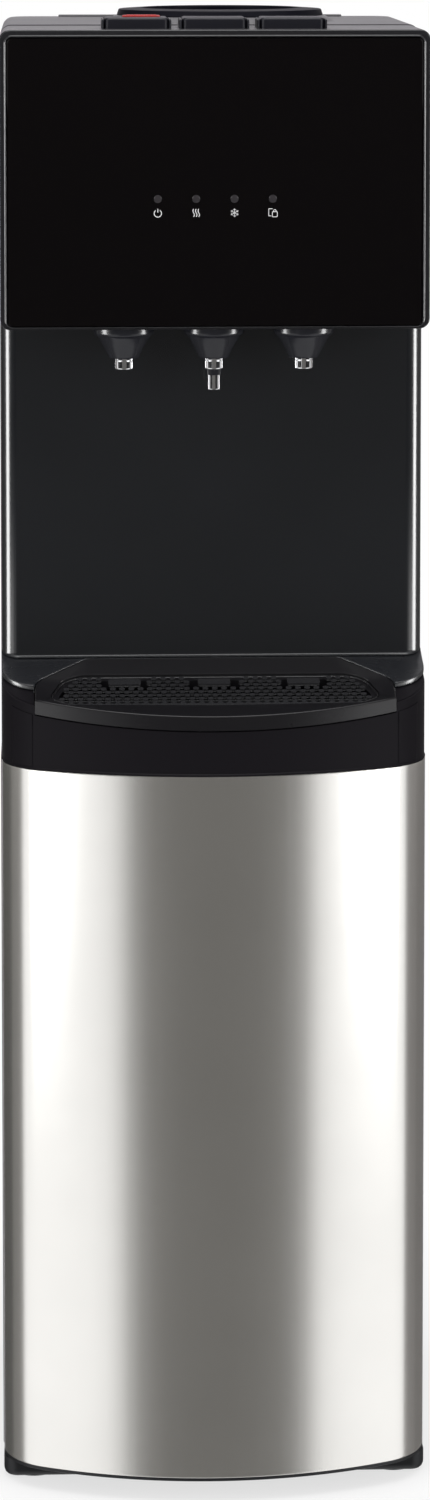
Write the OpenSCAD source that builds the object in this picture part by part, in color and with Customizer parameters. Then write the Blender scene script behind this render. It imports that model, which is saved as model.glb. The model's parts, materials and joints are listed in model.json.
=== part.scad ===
// Free-standing top-loading water dispenser with three taps, a drip tray and a curved steel front.
// Millimetres, +Z up, front towards -Y, origin under the middle of the overall box.

/* [Cabinet] */
// Width over the head and the steel front
body_w = 304; // [290:1:330]
// Depth from the front of the curved panel to the back panel
body_d = 325; // [318:1:345]
// Height of the flat top of the head above the floor
top_z = 1045; // [1030:1:1070]
// Radius of the curved front in plan
front_arc_r = 305; // [290:1:360]
// Radius of the front corners in plan
front_corner_r = 45; // [40:1:50]
// Thickness of the painted side and back sheets
sheet_t = 1; // [0.8:0.1:1.2]
// How far the side sheets stand out past the moulded parts
side_proud = 0.6; // [0.4:0.1:0.8]
// Wall thickness of the moulded plastic parts
wall_t = 2.5; // [2:0.1:3]
// Gap between fixed parts that lie side by side
joint_gap = 0.3; // [0.2:0.1:0.4]
// Gap round parts that slide or lift
slide_gap = 0.5; // [0.4:0.1:0.7]

/* [Base] */
// Height of the moulded base
base_h = 15; // [14:0.5:18]
// Distance of the base front behind the curved front
base_front_d = 49; // [46:1:52]
// Radius of the base corners in plan
base_corner_r = 10; // [8:1:14]
// Thickness of the moulded base plate
base_t = 4; // [3:0.5:5]
// Radius of a rubber foot
foot_r = 14; // [12:1:16]
// Height of a rubber foot below the base
foot_drop = 1; // [0.5:0.1:1.5]
// Thickness of the floor strip under the curved panel
trim_h = 2.4; // [2:0.1:3]
// Height of the lip that holds the curved panel
trim_lip_h = 10; // [8:1:14]

/* [Steel front] */
// Height of the curved steel panel
steel_h = 505; // [490:1:520]
// Thickness of the curved steel panel
steel_t = 1; // [0.8:0.1:1.2]
// How far the steel wraps back along the sides
steel_wrap_d = 80; // [76:1:90]

/* [Tray and shelf] */
// Height of the shelf plane at the front of the cabinet
shelf_front_z = 565.3; // [563:0.1:567]
// Rise of the shelf plane for each millimetre of depth
shelf_rise = 0.26; // [0.24:0.01:0.28]
// Half width of the drip tray
tray_half_w = 128; // [125:1:130]
// Depth of the drip tray's back edge behind the curved front
tray_back_d = 93; // [92:0.5:93.5]
// Half width of the straight back edge of the drip tray
tray_back_half_w = 92; // [88:1:96]
// Depth at which the sides of the tray start to draw in
tray_side_d = 57; // [54:1:60]
// Height of the tray's front face
tray_face_h = 10.6; // [9:0.1:12]
// Wall thickness of the drip tray
tray_wall = 2; // [1.6:0.1:2.4]
// Depth of the tray below its front face
tray_sink = 16; // [14:1:18]
// Front edge of the grid behind the curved front
grid_front_d = 24; // [22:1:26]
// Back edge of the grid behind the curved front
grid_back_d = 72; // [70:1:74]
// Half width of the grid at its front
grid_half_w = 118; // [114:1:120]
// How far the grid lies below the shelf plane
grid_sunk = 3; // [2.6:0.1:3.4]
// Thickness of the grid
grid_t = 2; // [1.6:0.1:2.4]
// Distance between neighbouring holes of the grid
grid_pitch = 6.6; // [6.4:0.1:7.4]
// Radius of a hole of the grid
grid_hole_r = 2.2; // [1.8:0.1:2.4]
// Width of the three long slots of the grid
grid_slot_w = 27; // [24:1:30]
// Depth of the three long slots of the grid
grid_slot_d = 10; // [8:1:12]

/* [Niche] */
// Distance of the niche wall behind the curved front
niche_d = 96; // [95:1:100]
// Radius of the vertical corners of the niche
niche_r = 13; // [11:1:16]
// Front edge of the shelf wings behind the curved front
wing_front_d = 50; // [47:1:53]
// Corner radius of the shelf wings
wing_r = 30; // [26:1:32]
// Thickness of the shelf wings
wing_t = 4; // [3:0.5:5]

/* [Head] */
// Distance of the head's face behind the curved front
head_front_d = 38; // [36:1:40]
// Height of the underside of the head
head_bottom_z = 833.5; // [822:0.5:840]
// Depth of the front part of the head
head_shell_d = 94; // [90:1:98]
// Depth of the whole head
head_d = 300; // [296:1:303]
// Radius of the head's edges seen from the front
head_edge_r = 8; // [6:1:10]
// Radius of the head's back corners in plan
head_back_r = 15; // [12:1:18]
// Height of the top cover's sides
cover_h = 45; // [42:1:48]
// Depth of the bezel
bezel_d = 8; // [7:0.5:10]
// Width of the bezel at the top and the sides
bezel_w = 5.4; // [4.5:0.1:6]
// Width of the bezel at the bottom
bezel_bottom_w = 2.2; // [2:0.1:3]
// Thickness of the glossy face panel
fascia_t = 3; // [2.5:0.5:4]
// How far the glossy face lies behind the bezel
fascia_sunk = 0.6; // [0.4:0.1:1]

/* [Indicators] */
// Height of the row of indicator lamps
lamp_z = 926; // [920:1:932]
// Distance between the indicator lamps
lamp_pitch = 27; // [25:0.5:29]
// Radius of an indicator lamp
lamp_r = 3; // [2.5:0.1:3.5]

/* [Buttons] */
// Distance between the buttons
button_pitch = 55; // [53:0.5:58]
// Width of a button
button_w = 45; // [43:0.5:46]
// Depth of a button
button_d = 41; // [38:0.5:42]
// Front edge of the buttons behind the curved front
button_front_d = 53.5; // [52.5:0.5:56]
// Height of a button above the head
button_h = 8; // [7:0.5:9]
// Travel of a button
button_travel = 5; // [4:0.5:6]
// Thickness of the guards beside the buttons
guard_t = 1.6; // [1.2:0.1:2]
// Radius of a push rod
rod_r = 3; // [2.6:0.1:3.4]
// Width of the child lock slider
lock_w = 27; // [24:1:30]
// Depth of the child lock slider
lock_d = 8; // [7:0.5:9]
// Travel of the child lock slider
lock_travel = 4; // [3:0.5:5]

/* [Taps] */
// Distance between the taps
tap_pitch = 64; // [62:0.5:66]
// Depth of the taps behind the curved front
tap_d = 66; // [64:0.5:68]
// Radius of a tap cone where it meets the head
cone_top_r = 21.5; // [20:0.5:23]
// Radius of a tap cone at its lower end
cone_low_r = 10.5; // [10:0.5:11.5]
// Height of a tap cone
cone_h = 22.5; // [18:0.5:24]
// Radius of a chrome tip
tip_r = 7.2; // [6.6:0.1:8]
// Height of a chrome tip below its cone
tip_h = 8; // [6:0.5:9]
// Radius of the small middle spout
spout_r = 4.7; // [4.2:0.1:5.2]
// Length of the small middle spout
spout_h = 10.5; // [8:0.5:12]
// Height of the dark collar above the small spout
spout_collar_h = 4.4; // [3.6:0.1:5]
// Radius of the water way through a tap
bore_r = 3; // [2.6:0.1:3.2]

/* [Bottle seat] */
// Distance of the bottle's axis behind the curved front
well_d = 225; // [224:1:226]
// Distance of the bottle's axis to the right of the middle
well_x = 11; // [9:0.5:12]
// Outer radius of the bottle seat's rim
seat_r = 77; // [75:0.5:79]
// Radius of the hole in the cover that takes the seat
seat_top_r = 70; // [68:0.5:72]
// Radius of the seat's open top
seat_hole_r = 59; // [57:0.5:61]
// Height of the rim above the raised pad
seat_h = 5.6; // [5:0.1:6.5]
// How far the rim's outer edge lies below its top
seat_slope_h = 1; // [0.6:0.1:1.4]
// Height of the raised pad round the rim
pad_h = 5; // [4:0.5:6]
// Radius of the hole that takes the bottle's neck
neck_r = 29; // [28:0.25:30]
// Length of the hole that takes the bottle's neck
neck_h = 30; // [26:1:34]

/* [Water tanks] */
// Outer radius of the cold tank
cold_r = 70; // [69:0.5:71]
// Height of the cold tank
cold_h = 158; // [150:1:165]
// Thickness of the foam round the cold tank
foam_t = 14.5; // [13:0.5:15]
// Radius of the evaporator tube
evap_r = 3.5; // [3:0.1:4]
// Outer radius of the hot tank
hot_r = 48; // [46:0.5:50]
// Height of the hot tank
hot_h = 150; // [140:1:160]
// Height of the hot tank's underside above the floor
hot_z = 650; // [646:1:660]

/* [Cooling] */
// Radius of the compressor can
comp_r = 66; // [62:1:70]
// Height of the compressor can
comp_h = 150; // [140:1:160]
// Height of the condenser grille
cond_h = 520; // [460:20:520]
// Width of the condenser grille
cond_w = 236; // [220:4:244]
// Distance from the back panel to the back of the condenser
cond_d = 25; // [24:0.5:28]
// Radius of the condenser tube
cond_tube_r = 2.5; // [2:0.1:3]
// Radius of a condenser wire
cond_wire_r = 0.9; // [0.7:0.1:1]

/* [Hidden] */
$fn = 48;
eps = 0.01;
hw = body_w / 2;
depth = body_d + cond_d;
arc_cy = yd(front_arc_r);
corner_cx = hw - front_corner_r;
corner_cy = arc_cy - sqrt(pow(front_arc_r - front_corner_r, 2) - pow(corner_cx, 2));
corner_a = atan2(corner_cy - arc_cy, corner_cx);
back_y = yd(body_d);
steel_z = base_h + trim_h;
steel_top = steel_z + steel_h;
seam_d = head_front_d + head_shell_d;
side_x = hw + side_proud;
well_y = yd(well_d);
tap_y = yd(tap_d);
button_y = yd(button_front_d + button_d / 2);
button_top = top_z + button_h;
button_skirt_z = top_z - wall_t - button_travel - 2;
pad_top = top_z + pad_h;
cover_z = top_z - cover_h;
shelf_plate_z = head_bottom_z;
shelf_plate_t = 2;
shelf_lip_h = 18;
foam_z = shelf_plate_z + shelf_plate_t;
foam_floor_t = 20;
cold_z = foam_z + foam_floor_t;
cold_wall = 1;
evap_path_r = cold_r + joint_gap + evap_r;
foam_in_r = evap_path_r + evap_r + joint_gap;
foam_r = foam_in_r + foam_t;
outlet_z = cold_z + 7;
port_r = 5;
valve_r = 12;
valve_h = 50;
valve_z = head_bottom_z + wall_t;
valve_port_z = outlet_z;
valve_port_y = tap_y + 28;
hot_x = 9 - tap_pitch;
hot_y = well_y - 50;
hot_port_y = well_y - 80;
comp_y = well_y + 10;
guide_z = top_z - 38;
guide_t = 3;
guide_half_w = button_pitch + button_w / 2 + 13;
drain_x = 92 - hw;
drain_z = 230;
switch_pitch = 34;
switch_w = 24;
switch_h = 34;
switch_wall = 1.7;
switch_rim = 6;
switch_body_d = 18;
switch_z = shelf_plate_z - shelf_lip_h - switch_h / 2 - 10;
rocker_tilt = 9;
gland_x = hw - 57;
gland_z = 60;
gland_r = 8.9;
cord_r = 4;
cond_z = 245;
cond_runs = 11;
cond_wires = 23;
cond_gap = 0.1;
cond_plane_y = back_y + cond_d - cond_tube_r - 2 * cond_wire_r - cond_gap;
lens_n = 4;
screw_r = 1.5;
screw_head_r = 3.5;
screw_head_h = 2;
screw_inset = 7;
flange_w = 14;
deck_t = 3;
deck_z = shelf_front_z - tray_face_h - tray_sink - deck_t;
cut_half_w = tray_half_w + slide_gap;

// Y of a point that lies d behind the curved front
function yd(d) = d - (body_d + cond_d) / 2;
// Height of the sloping shelf plane d behind the curved front
function shelf_z(d) = shelf_front_z + shelf_rise * d;
function arc(cx, cy, r, a0, a1, n) =
  [for (i = [0:n]) let (a = a0 + (a1 - a0) * i / n) [cx + r * cos(a), cy + r * sin(a)]];
function flip(p) = [for (i = [len(p) - 1:-1:0]) p[i]];
function mirror_x(p) = [for (q = flip(p)) [-q[0], q[1]]];
function unit(v) = v / norm(v);
// Plan of the curved front, drawn in by t, from the right side round to the left
function front_half(t) = concat(
  arc(corner_cx, corner_cy, front_corner_r - t, 0, corner_a, 8),
  [for (i = [1:12]) let (a = corner_a + (-90 - corner_a) * i / 12)
    [(front_arc_r - t) * cos(a), arc_cy + (front_arc_r - t) * sin(a)]]);
function front_line(t) = concat(front_half(t), [for (q = mirror_x(front_half(t))) if (q[0] < -eps) q]);
function front_plan(t, back) = concat([[hw - t, yd(back)]], front_line(t), [[t - hw, yd(back)]]);
// A polygon with each corner p[i] rounded by r[i]
function round_corner(a, p, b, r) =
  r <= 0 ? [p] :
  let (u = unit(a - p), v = unit(b - p), half = acos(u * v) / 2, m = unit(u + v), c = p + m * r / sin(half))
  let (s = p + u * r / tan(half) - c, e = p + v * r / tan(half) - c)
  let (sa = atan2(s[1], s[0]), raw = atan2(e[1], e[0]) - sa)
  let (turn = raw > 180 ? raw - 360 : raw < -180 ? raw + 360 : raw)
  [for (i = [0:6]) c + r * [cos(sa + turn * i / 6), sin(sa + turn * i / 6)]];
function round_poly(p, r) =
  [for (i = [0:len(p) - 1]) each round_corner(p[(i + len(p) - 1) % len(p)], p[i], p[(i + 1) % len(p)], r[i])];
function round_rect(x0, y0, x1, y1, r) = round_poly([[x0, y0], [x1, y0], [x1, y1], [x0, y1]], [r, r, r, r]);
// Y of the curved front, drawn in by t, at x
function arc_y(x, t) = arc_cy - sqrt(pow(front_arc_r - t, 2) - x * x);
// Plan of the drip tray, drawn in by t
function tray_plan(t) = let (w = tray_half_w - t, b = yd(tray_back_d) - t, k = tray_back_half_w - 0.4 * t)
  concat([for (i = [0:16]) let (x = -w + 2 * w * i / 16) [x, arc_y(x, t)]],
    [for (q = round_corner([w, arc_y(w, t)], [w, yd(tray_side_d) - 0.4 * t], [k, b], 25)) q],
    [for (q = round_corner([w, yd(tray_side_d)], [k, b], [-k, b], 8)) q],
    [for (q = round_corner([k, b], [-k, b], [-w, yd(tray_side_d)], 8)) q],
    [for (q = round_corner([-k, b], [-w, yd(tray_side_d) - 0.4 * t], [-w, arc_y(w, t)], 25)) q]);
function grid_plan(t) = let (w = grid_half_w - t, k = grid_half_w - 12 - t)
  let (f = yd(grid_front_d) + t, b = yd(grid_back_d) - t, s = yd(grid_front_d + 12))
  round_poly([[0, f - 0.001], [w - 14, f + 3], [w, s], [k, b], [-k, b], [-w, s], [14 - w, f + 3]],
    [0, 12, 10, 22, 22, 10, 12]);
// Ring sections of a tube swept along a path
function path_dir(p, i) = unit(p[min(i + 1, len(p) - 1)] - p[max(i - 1, 0)]);
function side_of(d) = abs(d[2]) < 0.9 ? unit(cross(d, [0, 0, 1])) : unit(cross(d, [0, 1, 0]));
function smooth_path(p, r, n) = concat([p[0]],
  [for (i = [1:len(p) - 2]) let (a = p[i] + r * unit(p[i - 1] - p[i]), b = p[i] + r * unit(p[i + 1] - p[i]))
    each [for (k = [0:n]) let (t = k / n) (1 - t) * (1 - t) * a + 2 * t * (1 - t) * p[i] + t * t * b]],
  [p[len(p) - 1]]);
function path_sides(p) = [for (i = 0, s = side_of(path_dir(p, 0)); i < len(p); i = i + 1,
  s = i < len(p) ? unit(s - (s * path_dir(p, i)) * path_dir(p, i)) : s) s];

module tube(p, r, n = 8) {
  s = path_sides(p);
  pts = [for (i = [0:len(p) - 1]) let (v = cross(path_dir(p, i), s[i]))
    each [for (k = [0:n - 1]) p[i] + r * (cos(360 * k / n) * s[i] + sin(360 * k / n) * v)]];
  walls = [for (i = [0:len(p) - 2]) for (k = [0:n - 1]) let (j = (k + 1) % n)
    each [[i * n + k, (i + 1) * n + j, i * n + j], [i * n + k, (i + 1) * n + k, (i + 1) * n + j]]];
  last = (len(p) - 1) * n;
  ends = [for (k = [1:n - 2]) each [[0, k, k + 1], [last, last + k + 1, last + k]]];
  polyhedron(points = pts, faces = concat(walls, ends));
}

// A block between two depths and two heights, centred across
module slab(w, d0, d1, z0, z1) {
  translate([-w / 2, yd(d0), z0]) cube([w, d1 - d0, z1 - z0]);
}

// Everything below the shelf plane, lowered by drop, between two depths
module below_shelf(drop, d0, d1, floor_z) {
  rotate([90, 0, 90]) translate([0, 0, -hw - 5]) linear_extrude(2 * hw + 10)
    polygon([[yd(d0), floor_z], [yd(d1), floor_z], [yd(d1), shelf_z(d1) - drop], [yd(d0), shelf_z(d0) - drop]]);
}

// Extrusion along Y of an outline drawn in X and Z
module along_y(d0, d1) {
  translate([0, yd(d1), 0]) rotate([90, 0, 0]) linear_extrude(d1 - d0) children();
}

module rod_z(x, y, z0, z1, r) {
  translate([x, y, z0]) cylinder(r = r, h = z1 - z0);
}

module rod_y(x, y0, y1, z, r) {
  translate([x, y1, z]) rotate([90, 0, 0]) cylinder(r = r, h = y1 - y0);
}

module base_outline(t) {
  polygon(round_rect(t - hw, yd(base_front_d) + t, hw - t, back_y - t, base_corner_r - t));
}

foot_xy = [for (x = [-1, 1], d = [base_front_d + 22, body_d - 22]) [x * (hw - 22), yd(d)]];

module base_plate() {
  color([0.05, 0.05, 0.06]) difference() {
    translate([0, 0, foot_drop]) linear_extrude(base_h - foot_drop) base_outline(0);
    difference() {
      translate([0, 0, foot_drop - 1]) linear_extrude(base_h - base_t - foot_drop + 1) base_outline(4);
      for (p = foot_xy) rod_z(p[0], p[1], 0, base_h, foot_r + 6);
      for (x = [-1, 1]) translate([x * hw / 3 - 2, yd(base_front_d), 0]) cube([4, body_d, base_h]);
    }
    for (p = foot_xy) rod_z(p[0], p[1], 0, foot_drop + 2, foot_r);
  }
}

module foot_pads() {
  color([0.12, 0.12, 0.12]) for (p = foot_xy) rod_z(p[0], p[1], 0, foot_drop + 2, foot_r - joint_gap);
}

module floor_strip() {
  color([0.08, 0.08, 0.09]) {
    translate([0, 0, base_h]) linear_extrude(trim_h) polygon(front_plan(0, steel_wrap_d));
    translate([0, 0, steel_z - eps]) linear_extrude(trim_lip_h)
      polygon(concat(front_plan(steel_t + joint_gap, steel_wrap_d),
        flip(front_plan(steel_t + wall_t, steel_wrap_d))));
  }
}

module steel_front_panel() {
  color([0.75, 0.74, 0.72]) translate([0, 0, steel_z]) linear_extrude(steel_h)
    polygon(concat(front_plan(0, steel_wrap_d), flip(front_plan(steel_t, steel_wrap_d))));
}

// Outline of a side sheet in Y and Z: it reaches forward behind the steel and stops at the seam above it
module side_outline() {
  polygon([[yd(steel_wrap_d + joint_gap), base_h], [back_y, base_h], [back_y, cover_z - joint_gap],
    [yd(seam_d + joint_gap), cover_z - joint_gap], [yd(seam_d + joint_gap), steel_top - joint_gap],
    [yd(steel_wrap_d + joint_gap), steel_top - joint_gap]]);
}

flange_y = back_y - 2 * sheet_t - joint_gap;
rear_half_w = side_x - sheet_t - joint_gap;
screw_z = [for (i = [0:4]) base_h + 12 + i * (cover_z - base_h - 24) / 4];
screw_xz = [for (x = [-1, 1], z = screw_z) [x * (rear_half_w - screw_inset), z]];

module side_sheet() {
  rotate([90, 0, 90]) linear_extrude(sheet_t) side_outline();
  // Flange that the back sheet is screwed to
  difference() {
    translate([sheet_t - flange_w, flange_y, base_h])
      cube([flange_w - eps, sheet_t, cover_z - joint_gap - base_h]);
    for (z = screw_z) rod_y(-joint_gap - screw_inset, flange_y - 1, back_y, z, screw_r + 0.1);
  }
}

module side_panel_right() {
  color([0.16, 0.16, 0.17]) translate([side_x - sheet_t, 0, 0]) side_sheet();
}

module side_panel_left() {
  color([0.16, 0.16, 0.17]) mirror([1, 0, 0]) translate([side_x - sheet_t, 0, 0]) side_sheet();
}

module vents(x0, z0, nx, nz, w, h, gap_x, gap_z) {
  for (i = [0:nx - 1], j = [0:nz - 1])
    translate([x0 + i * (w + gap_x), back_y - 5, z0 + j * (h + gap_z)]) cube([w, 10, h]);
}

module rear_panel() {
  color([0.2, 0.2, 0.21]) difference() {
    translate([-rear_half_w, back_y - sheet_t, base_h])
      cube([2 * rear_half_w, sheet_t, cover_z - joint_gap - base_h]);
    vents(-110, 100, 3, 9, 60, 5, 20, 9);
    vents(-110, cond_z + cond_h + 20, 2, 4, 40, 5, 140, 8);
    for (p = screw_xz) rod_y(p[0], back_y - 5, back_y + 5, p[1], screw_r + 0.1);
    rod_y(drain_x, back_y - 5, back_y + 5, drain_z, port_r + 4);
    rod_y(gland_x, back_y - 5, back_y + 5, gland_z, gland_r + joint_gap);
    rod_y(riser_x, back_y - 5, back_y + 5, cond_out_z, cond_tube_r + 1);
    rod_y(drier_x, back_y - 5, back_y + 5, cond_in_z, cond_tube_r + 1);
    switch_block(switch_wall + joint_gap, back_y - 5, back_y + 5);
  }
}

module rear_screws() {
  color([0.6, 0.6, 0.62]) for (p = screw_xz) {
    rod_y(p[0], flange_y - 2, back_y + eps, p[1], screw_r);
    rod_y(p[0], back_y, back_y + screw_head_h, p[1], screw_head_r);
  }
}

tray_wall_d = 14;

// Upper front moulding that carries the tray, with a floor for the tray to stand on
module tray_housing() {
  color([0.06, 0.06, 0.07]) difference() {
    union() {
      intersection() {
        translate([0, 0, steel_top]) linear_extrude(120)
          polygon(concat(front_plan(0, seam_d), flip(front_plan(wall_t, seam_d))));
        below_shelf(wing_t + joint_gap, -5, seam_d + 1, 0);
      }
      translate([0, 0, deck_z]) linear_extrude(deck_t) polygon(front_plan(wall_t - eps, seam_d));
      // Closed tops of the two front corners beside the tray
      intersection() {
        difference() {
          linear_extrude(shelf_z(niche_d)) polygon(front_plan(wall_t - eps, niche_d));
          slab(2 * cut_half_w, -5, niche_d + 5, 0, top_z);
        }
        difference() {
          below_shelf(wing_t + joint_gap, -5, niche_d + 1, 0);
          below_shelf(wing_t + joint_gap + wall_t, -6, niche_d + 2, -1);
        }
      }
      // Walls beside the tray
      intersection() {
        for (x = [-1, 1]) translate([x * (cut_half_w + 1) - 1, yd(tray_wall_d), deck_z])
          cube([2, tray_back_d - tray_wall_d, 100]);
        linear_extrude(top_z) polygon(front_plan(wall_t - eps, niche_d));
        below_shelf(wing_t + joint_gap, -5, niche_d + 1, 0);
      }
    }
    // Mouth for the tray
    slab(2 * cut_half_w, -5, 60, shelf_front_z - tray_face_h - slide_gap, top_z);
  }
}

module shelf_surround() {
  color([0.1, 0.1, 0.12]) intersection() {
    difference() {
      translate([0, 0, steel_top]) linear_extrude(100) polygon(round_poly([[-hw, yd(niche_d + niche_r)],
        [-hw, yd(wing_front_d)], [hw, yd(wing_front_d)], [hw, yd(niche_d + niche_r)]], [0, wing_r, wing_r, 0]));
      translate([0, 0, steel_top - 1]) linear_extrude(102) polygon(tray_plan(-slide_gap));
      translate([0, 0, steel_top - 1]) linear_extrude(102) polygon(niche_line(-joint_gap));
      slab(2 * cut_half_w, 0, tray_side_d, 0, top_z);
    }
    difference() {
      below_shelf(0, 0, seam_d, 0);
      below_shelf(wing_t, -1, seam_d + 1, -1);
    }
  }
}

function niche_line(t) = concat([[hw - t, yd(seam_d)]],
  arc(hw - niche_r, yd(niche_d) + niche_r, niche_r - t, 0, -90, 8),
  arc(niche_r - hw, yd(niche_d) + niche_r, niche_r - t, -90, -180, 8), [[t - hw, yd(seam_d)]]);

module niche_panel() {
  color([0.13, 0.14, 0.16]) difference() {
    translate([0, 0, deck_z + deck_t]) linear_extrude(head_bottom_z - deck_z - deck_t)
      polygon(concat(niche_line(0), flip(niche_line(wall_t))));
    // Below the shelf it goes down inside the housing's sides
    difference() {
      below_shelf(wing_t, niche_d - 1, seam_d + 5, 0);
      slab(2 * (hw - wall_t - joint_gap), niche_d - 2, seam_d + 6, 0, top_z);
    }
  }
}

module drip_tray() {
  tray_z = deck_z + deck_t + joint_gap;
  color([0.06, 0.06, 0.07]) difference() {
    intersection() {
      translate([0, 0, tray_z]) linear_extrude(80) polygon(tray_plan(0));
      below_shelf(0, -5, niche_d, 0);
      union() {
        // The face is flush with the curved front, and the basin stays behind the housing's wall
        translate([0, 0, shelf_front_z - tray_face_h]) linear_extrude(100) polygon(front_plan(0, niche_d));
        linear_extrude(top_z) polygon(front_plan(wall_t + slide_gap, niche_d));
      }
    }
    intersection() {
      translate([0, 0, tray_z + tray_wall]) linear_extrude(80)
        polygon(tray_plan(wall_t + slide_gap + tray_wall));
      below_shelf(grid_sunk + grid_t + tray_wall, -5, niche_d, 0);
    }
    translate([0, 0, tray_z + 8]) linear_extrude(80) polygon(grid_plan(4));
    intersection() {
      translate([0, 0, tray_z + 8]) linear_extrude(80) polygon(grid_plan(-slide_gap));
      difference() {
        below_shelf(-20, -5, niche_d + 5, 0);
        below_shelf(grid_sunk + grid_t, -6, niche_d + 6, -1);
      }
    }
  }
}

// Middles of the slots, and of the holes that keep clear of the slots and the rim
slot_mid_d = 62;
slot_x = [-tap_pitch, 0, tap_pitch];
slot_clear = grid_hole_r + 1.2;
function in_slot(x, d) = abs(d - slot_mid_d) < grid_slot_d / 2 + slot_clear
  && min([for (s = slot_x) abs(x - s)]) < grid_slot_w / 2 + slot_clear;
function in_grid(x, d) = abs(x) < grid_half_w - 6 - max(0, (d - grid_front_d - 12)) * 0.32
  - max(0, grid_front_d + 11 - d) * 0.8;
grid_row_d = grid_pitch * 0.8;
grid_rows = floor((grid_back_d - grid_front_d - 10) / grid_row_d);
grid_cols = floor(grid_half_w / grid_pitch);
grid_holes = [for (j = [0:grid_rows], i = [-grid_cols:grid_cols])
  let (x = (i + (j % 2) / 2) * grid_pitch, d = grid_front_d + 6 + j * grid_row_d)
  if (in_grid(x, d) && !in_slot(x, d)) [x, d]];

module drip_grid() {
  color([0.04, 0.04, 0.05]) intersection() {
    translate([0, 0, deck_z]) linear_extrude(90) difference() {
      polygon(grid_plan(0));
      for (h = grid_holes) translate([h[0], yd(h[1])]) circle(r = grid_hole_r, $fn = 6);
      for (s = slot_x) translate([s - grid_slot_w / 2, yd(slot_mid_d - grid_slot_d / 2)])
        square([grid_slot_w, grid_slot_d]);
    }
    difference() {
      below_shelf(grid_sunk, 0, niche_d, 0);
      below_shelf(grid_sunk + grid_t - joint_gap, -1, niche_d + 1, -1);
    }
  }
}

module head_outline(t) {
  polygon(round_rect(t - hw, head_bottom_z + t, hw - t, top_z - t, max(head_edge_r - t, 1)));
}

// The guards stop this far below the buttons' tops
guard_drop = 1;
button_x = [-button_pitch, 0, button_pitch];
tap_x = [-tap_pitch, 0, tap_pitch];

module head_shell() {
  color([0.45, 0.45, 0.47]) difference() {
    along_y(head_front_d + bezel_d, seam_d) head_outline(0);
    along_y(head_front_d + bezel_d - 1, seam_d + 1) head_outline(wall_t);
    for (x = button_x) translate([x - button_w / 2 - slide_gap, yd(button_front_d) - slide_gap, top_z - 5])
      cube([button_w + 2 * slide_gap, button_d + 2 * slide_gap, 10]);
    for (x = tap_x) rod_z(x, tap_y, head_bottom_z - 1, valve_z + 1, bore_r + 3);
  }
  // Guards that stand round the sides and the back of each button
  color([0.06, 0.06, 0.07]) for (x = button_x) difference() {
    translate([x - button_w / 2 - slide_gap - guard_t, yd(button_front_d), top_z - eps])
      cube([button_w + 2 * (slide_gap + guard_t), button_d + slide_gap + guard_t, button_h - guard_drop]);
    translate([x - button_w / 2 - slide_gap, yd(button_front_d) - 1, top_z - 1])
      cube([button_w + 2 * slide_gap, button_d + slide_gap + 1, button_h + 2]);
  }
}

module head_bezel() {
  color([0.12, 0.12, 0.13]) difference() {
    along_y(head_front_d, head_front_d + bezel_d) head_outline(0);
    along_y(head_front_d - 1, head_front_d + bezel_d + 1)
      polygon(round_rect(bezel_w - hw, head_bottom_z + bezel_bottom_w, hw - bezel_w, top_z - bezel_w, 4));
  }
}

fascia_d = head_front_d + fascia_sunk;
fascia_gap = bezel_w + joint_gap;
lens_back_d = fascia_d + fascia_t + 2;
board_d = lens_back_d + 3;
board_t = 1.6;
lamp_x = [for (i = [0:lens_n - 1]) (i - (lens_n - 1) / 2) * lamp_pitch];

module fascia_panel() {
  color([0.02, 0.02, 0.02]) difference() {
    union() {
      along_y(fascia_d, fascia_d + fascia_t) polygon(round_rect(fascia_gap - hw,
        head_bottom_z + bezel_bottom_w + joint_gap, hw - fascia_gap, top_z - fascia_gap, 3.7));
      // Two posts for the indicator board
      for (x = [-1, 1]) rod_y(x * (2 * lamp_pitch + 6), yd(fascia_d + fascia_t) - eps, yd(board_d), lamp_z, 3);
    }
    for (x = lamp_x) rod_y(x, yd(fascia_d - 1), yd(fascia_d + fascia_t + 1), lamp_z, lamp_r + 0.05);
  }
}

module indicator_lenses() {
  color([0.5, 0.5, 0.5]) for (x = lamp_x) rod_y(x, yd(fascia_d), yd(lens_back_d), lamp_z, lamp_r);
}

module indicator_board() {
  color([0.05, 0.3, 0.15]) translate([-2 * lamp_pitch - 12, yd(board_d), lamp_z - 11])
    cube([4 * lamp_pitch + 24, board_t, 22]);
  color("white") for (x = lamp_x) rod_y(x, yd(lens_back_d), yd(board_d) + eps, lamp_z, 2);
}

head_back_d = head_front_d + head_d;
// A low rib runs across the back of the cover
rib_w = 218;
rib_depth = 8;
rib_h = 1.6;

module cover_block(t, z0) {
  x = hw - t;
  y = yd(head_back_d) - t;
  edge_r = head_edge_r - t;
  corner_r = head_back_r - t;
  intersection() {
    along_y(seam_d + joint_gap, head_back_d)
      polygon(round_poly([[-x, z0], [x, z0], [x, top_z - t], [-x, top_z - t]], [0, 0, edge_r, edge_r]));
    linear_extrude(2 * top_z)
      polygon(round_poly([[-x, yd(0)], [x, yd(0)], [x, y], [-x, y]], [0, 0, corner_r, corner_r]));
  }
}

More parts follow.
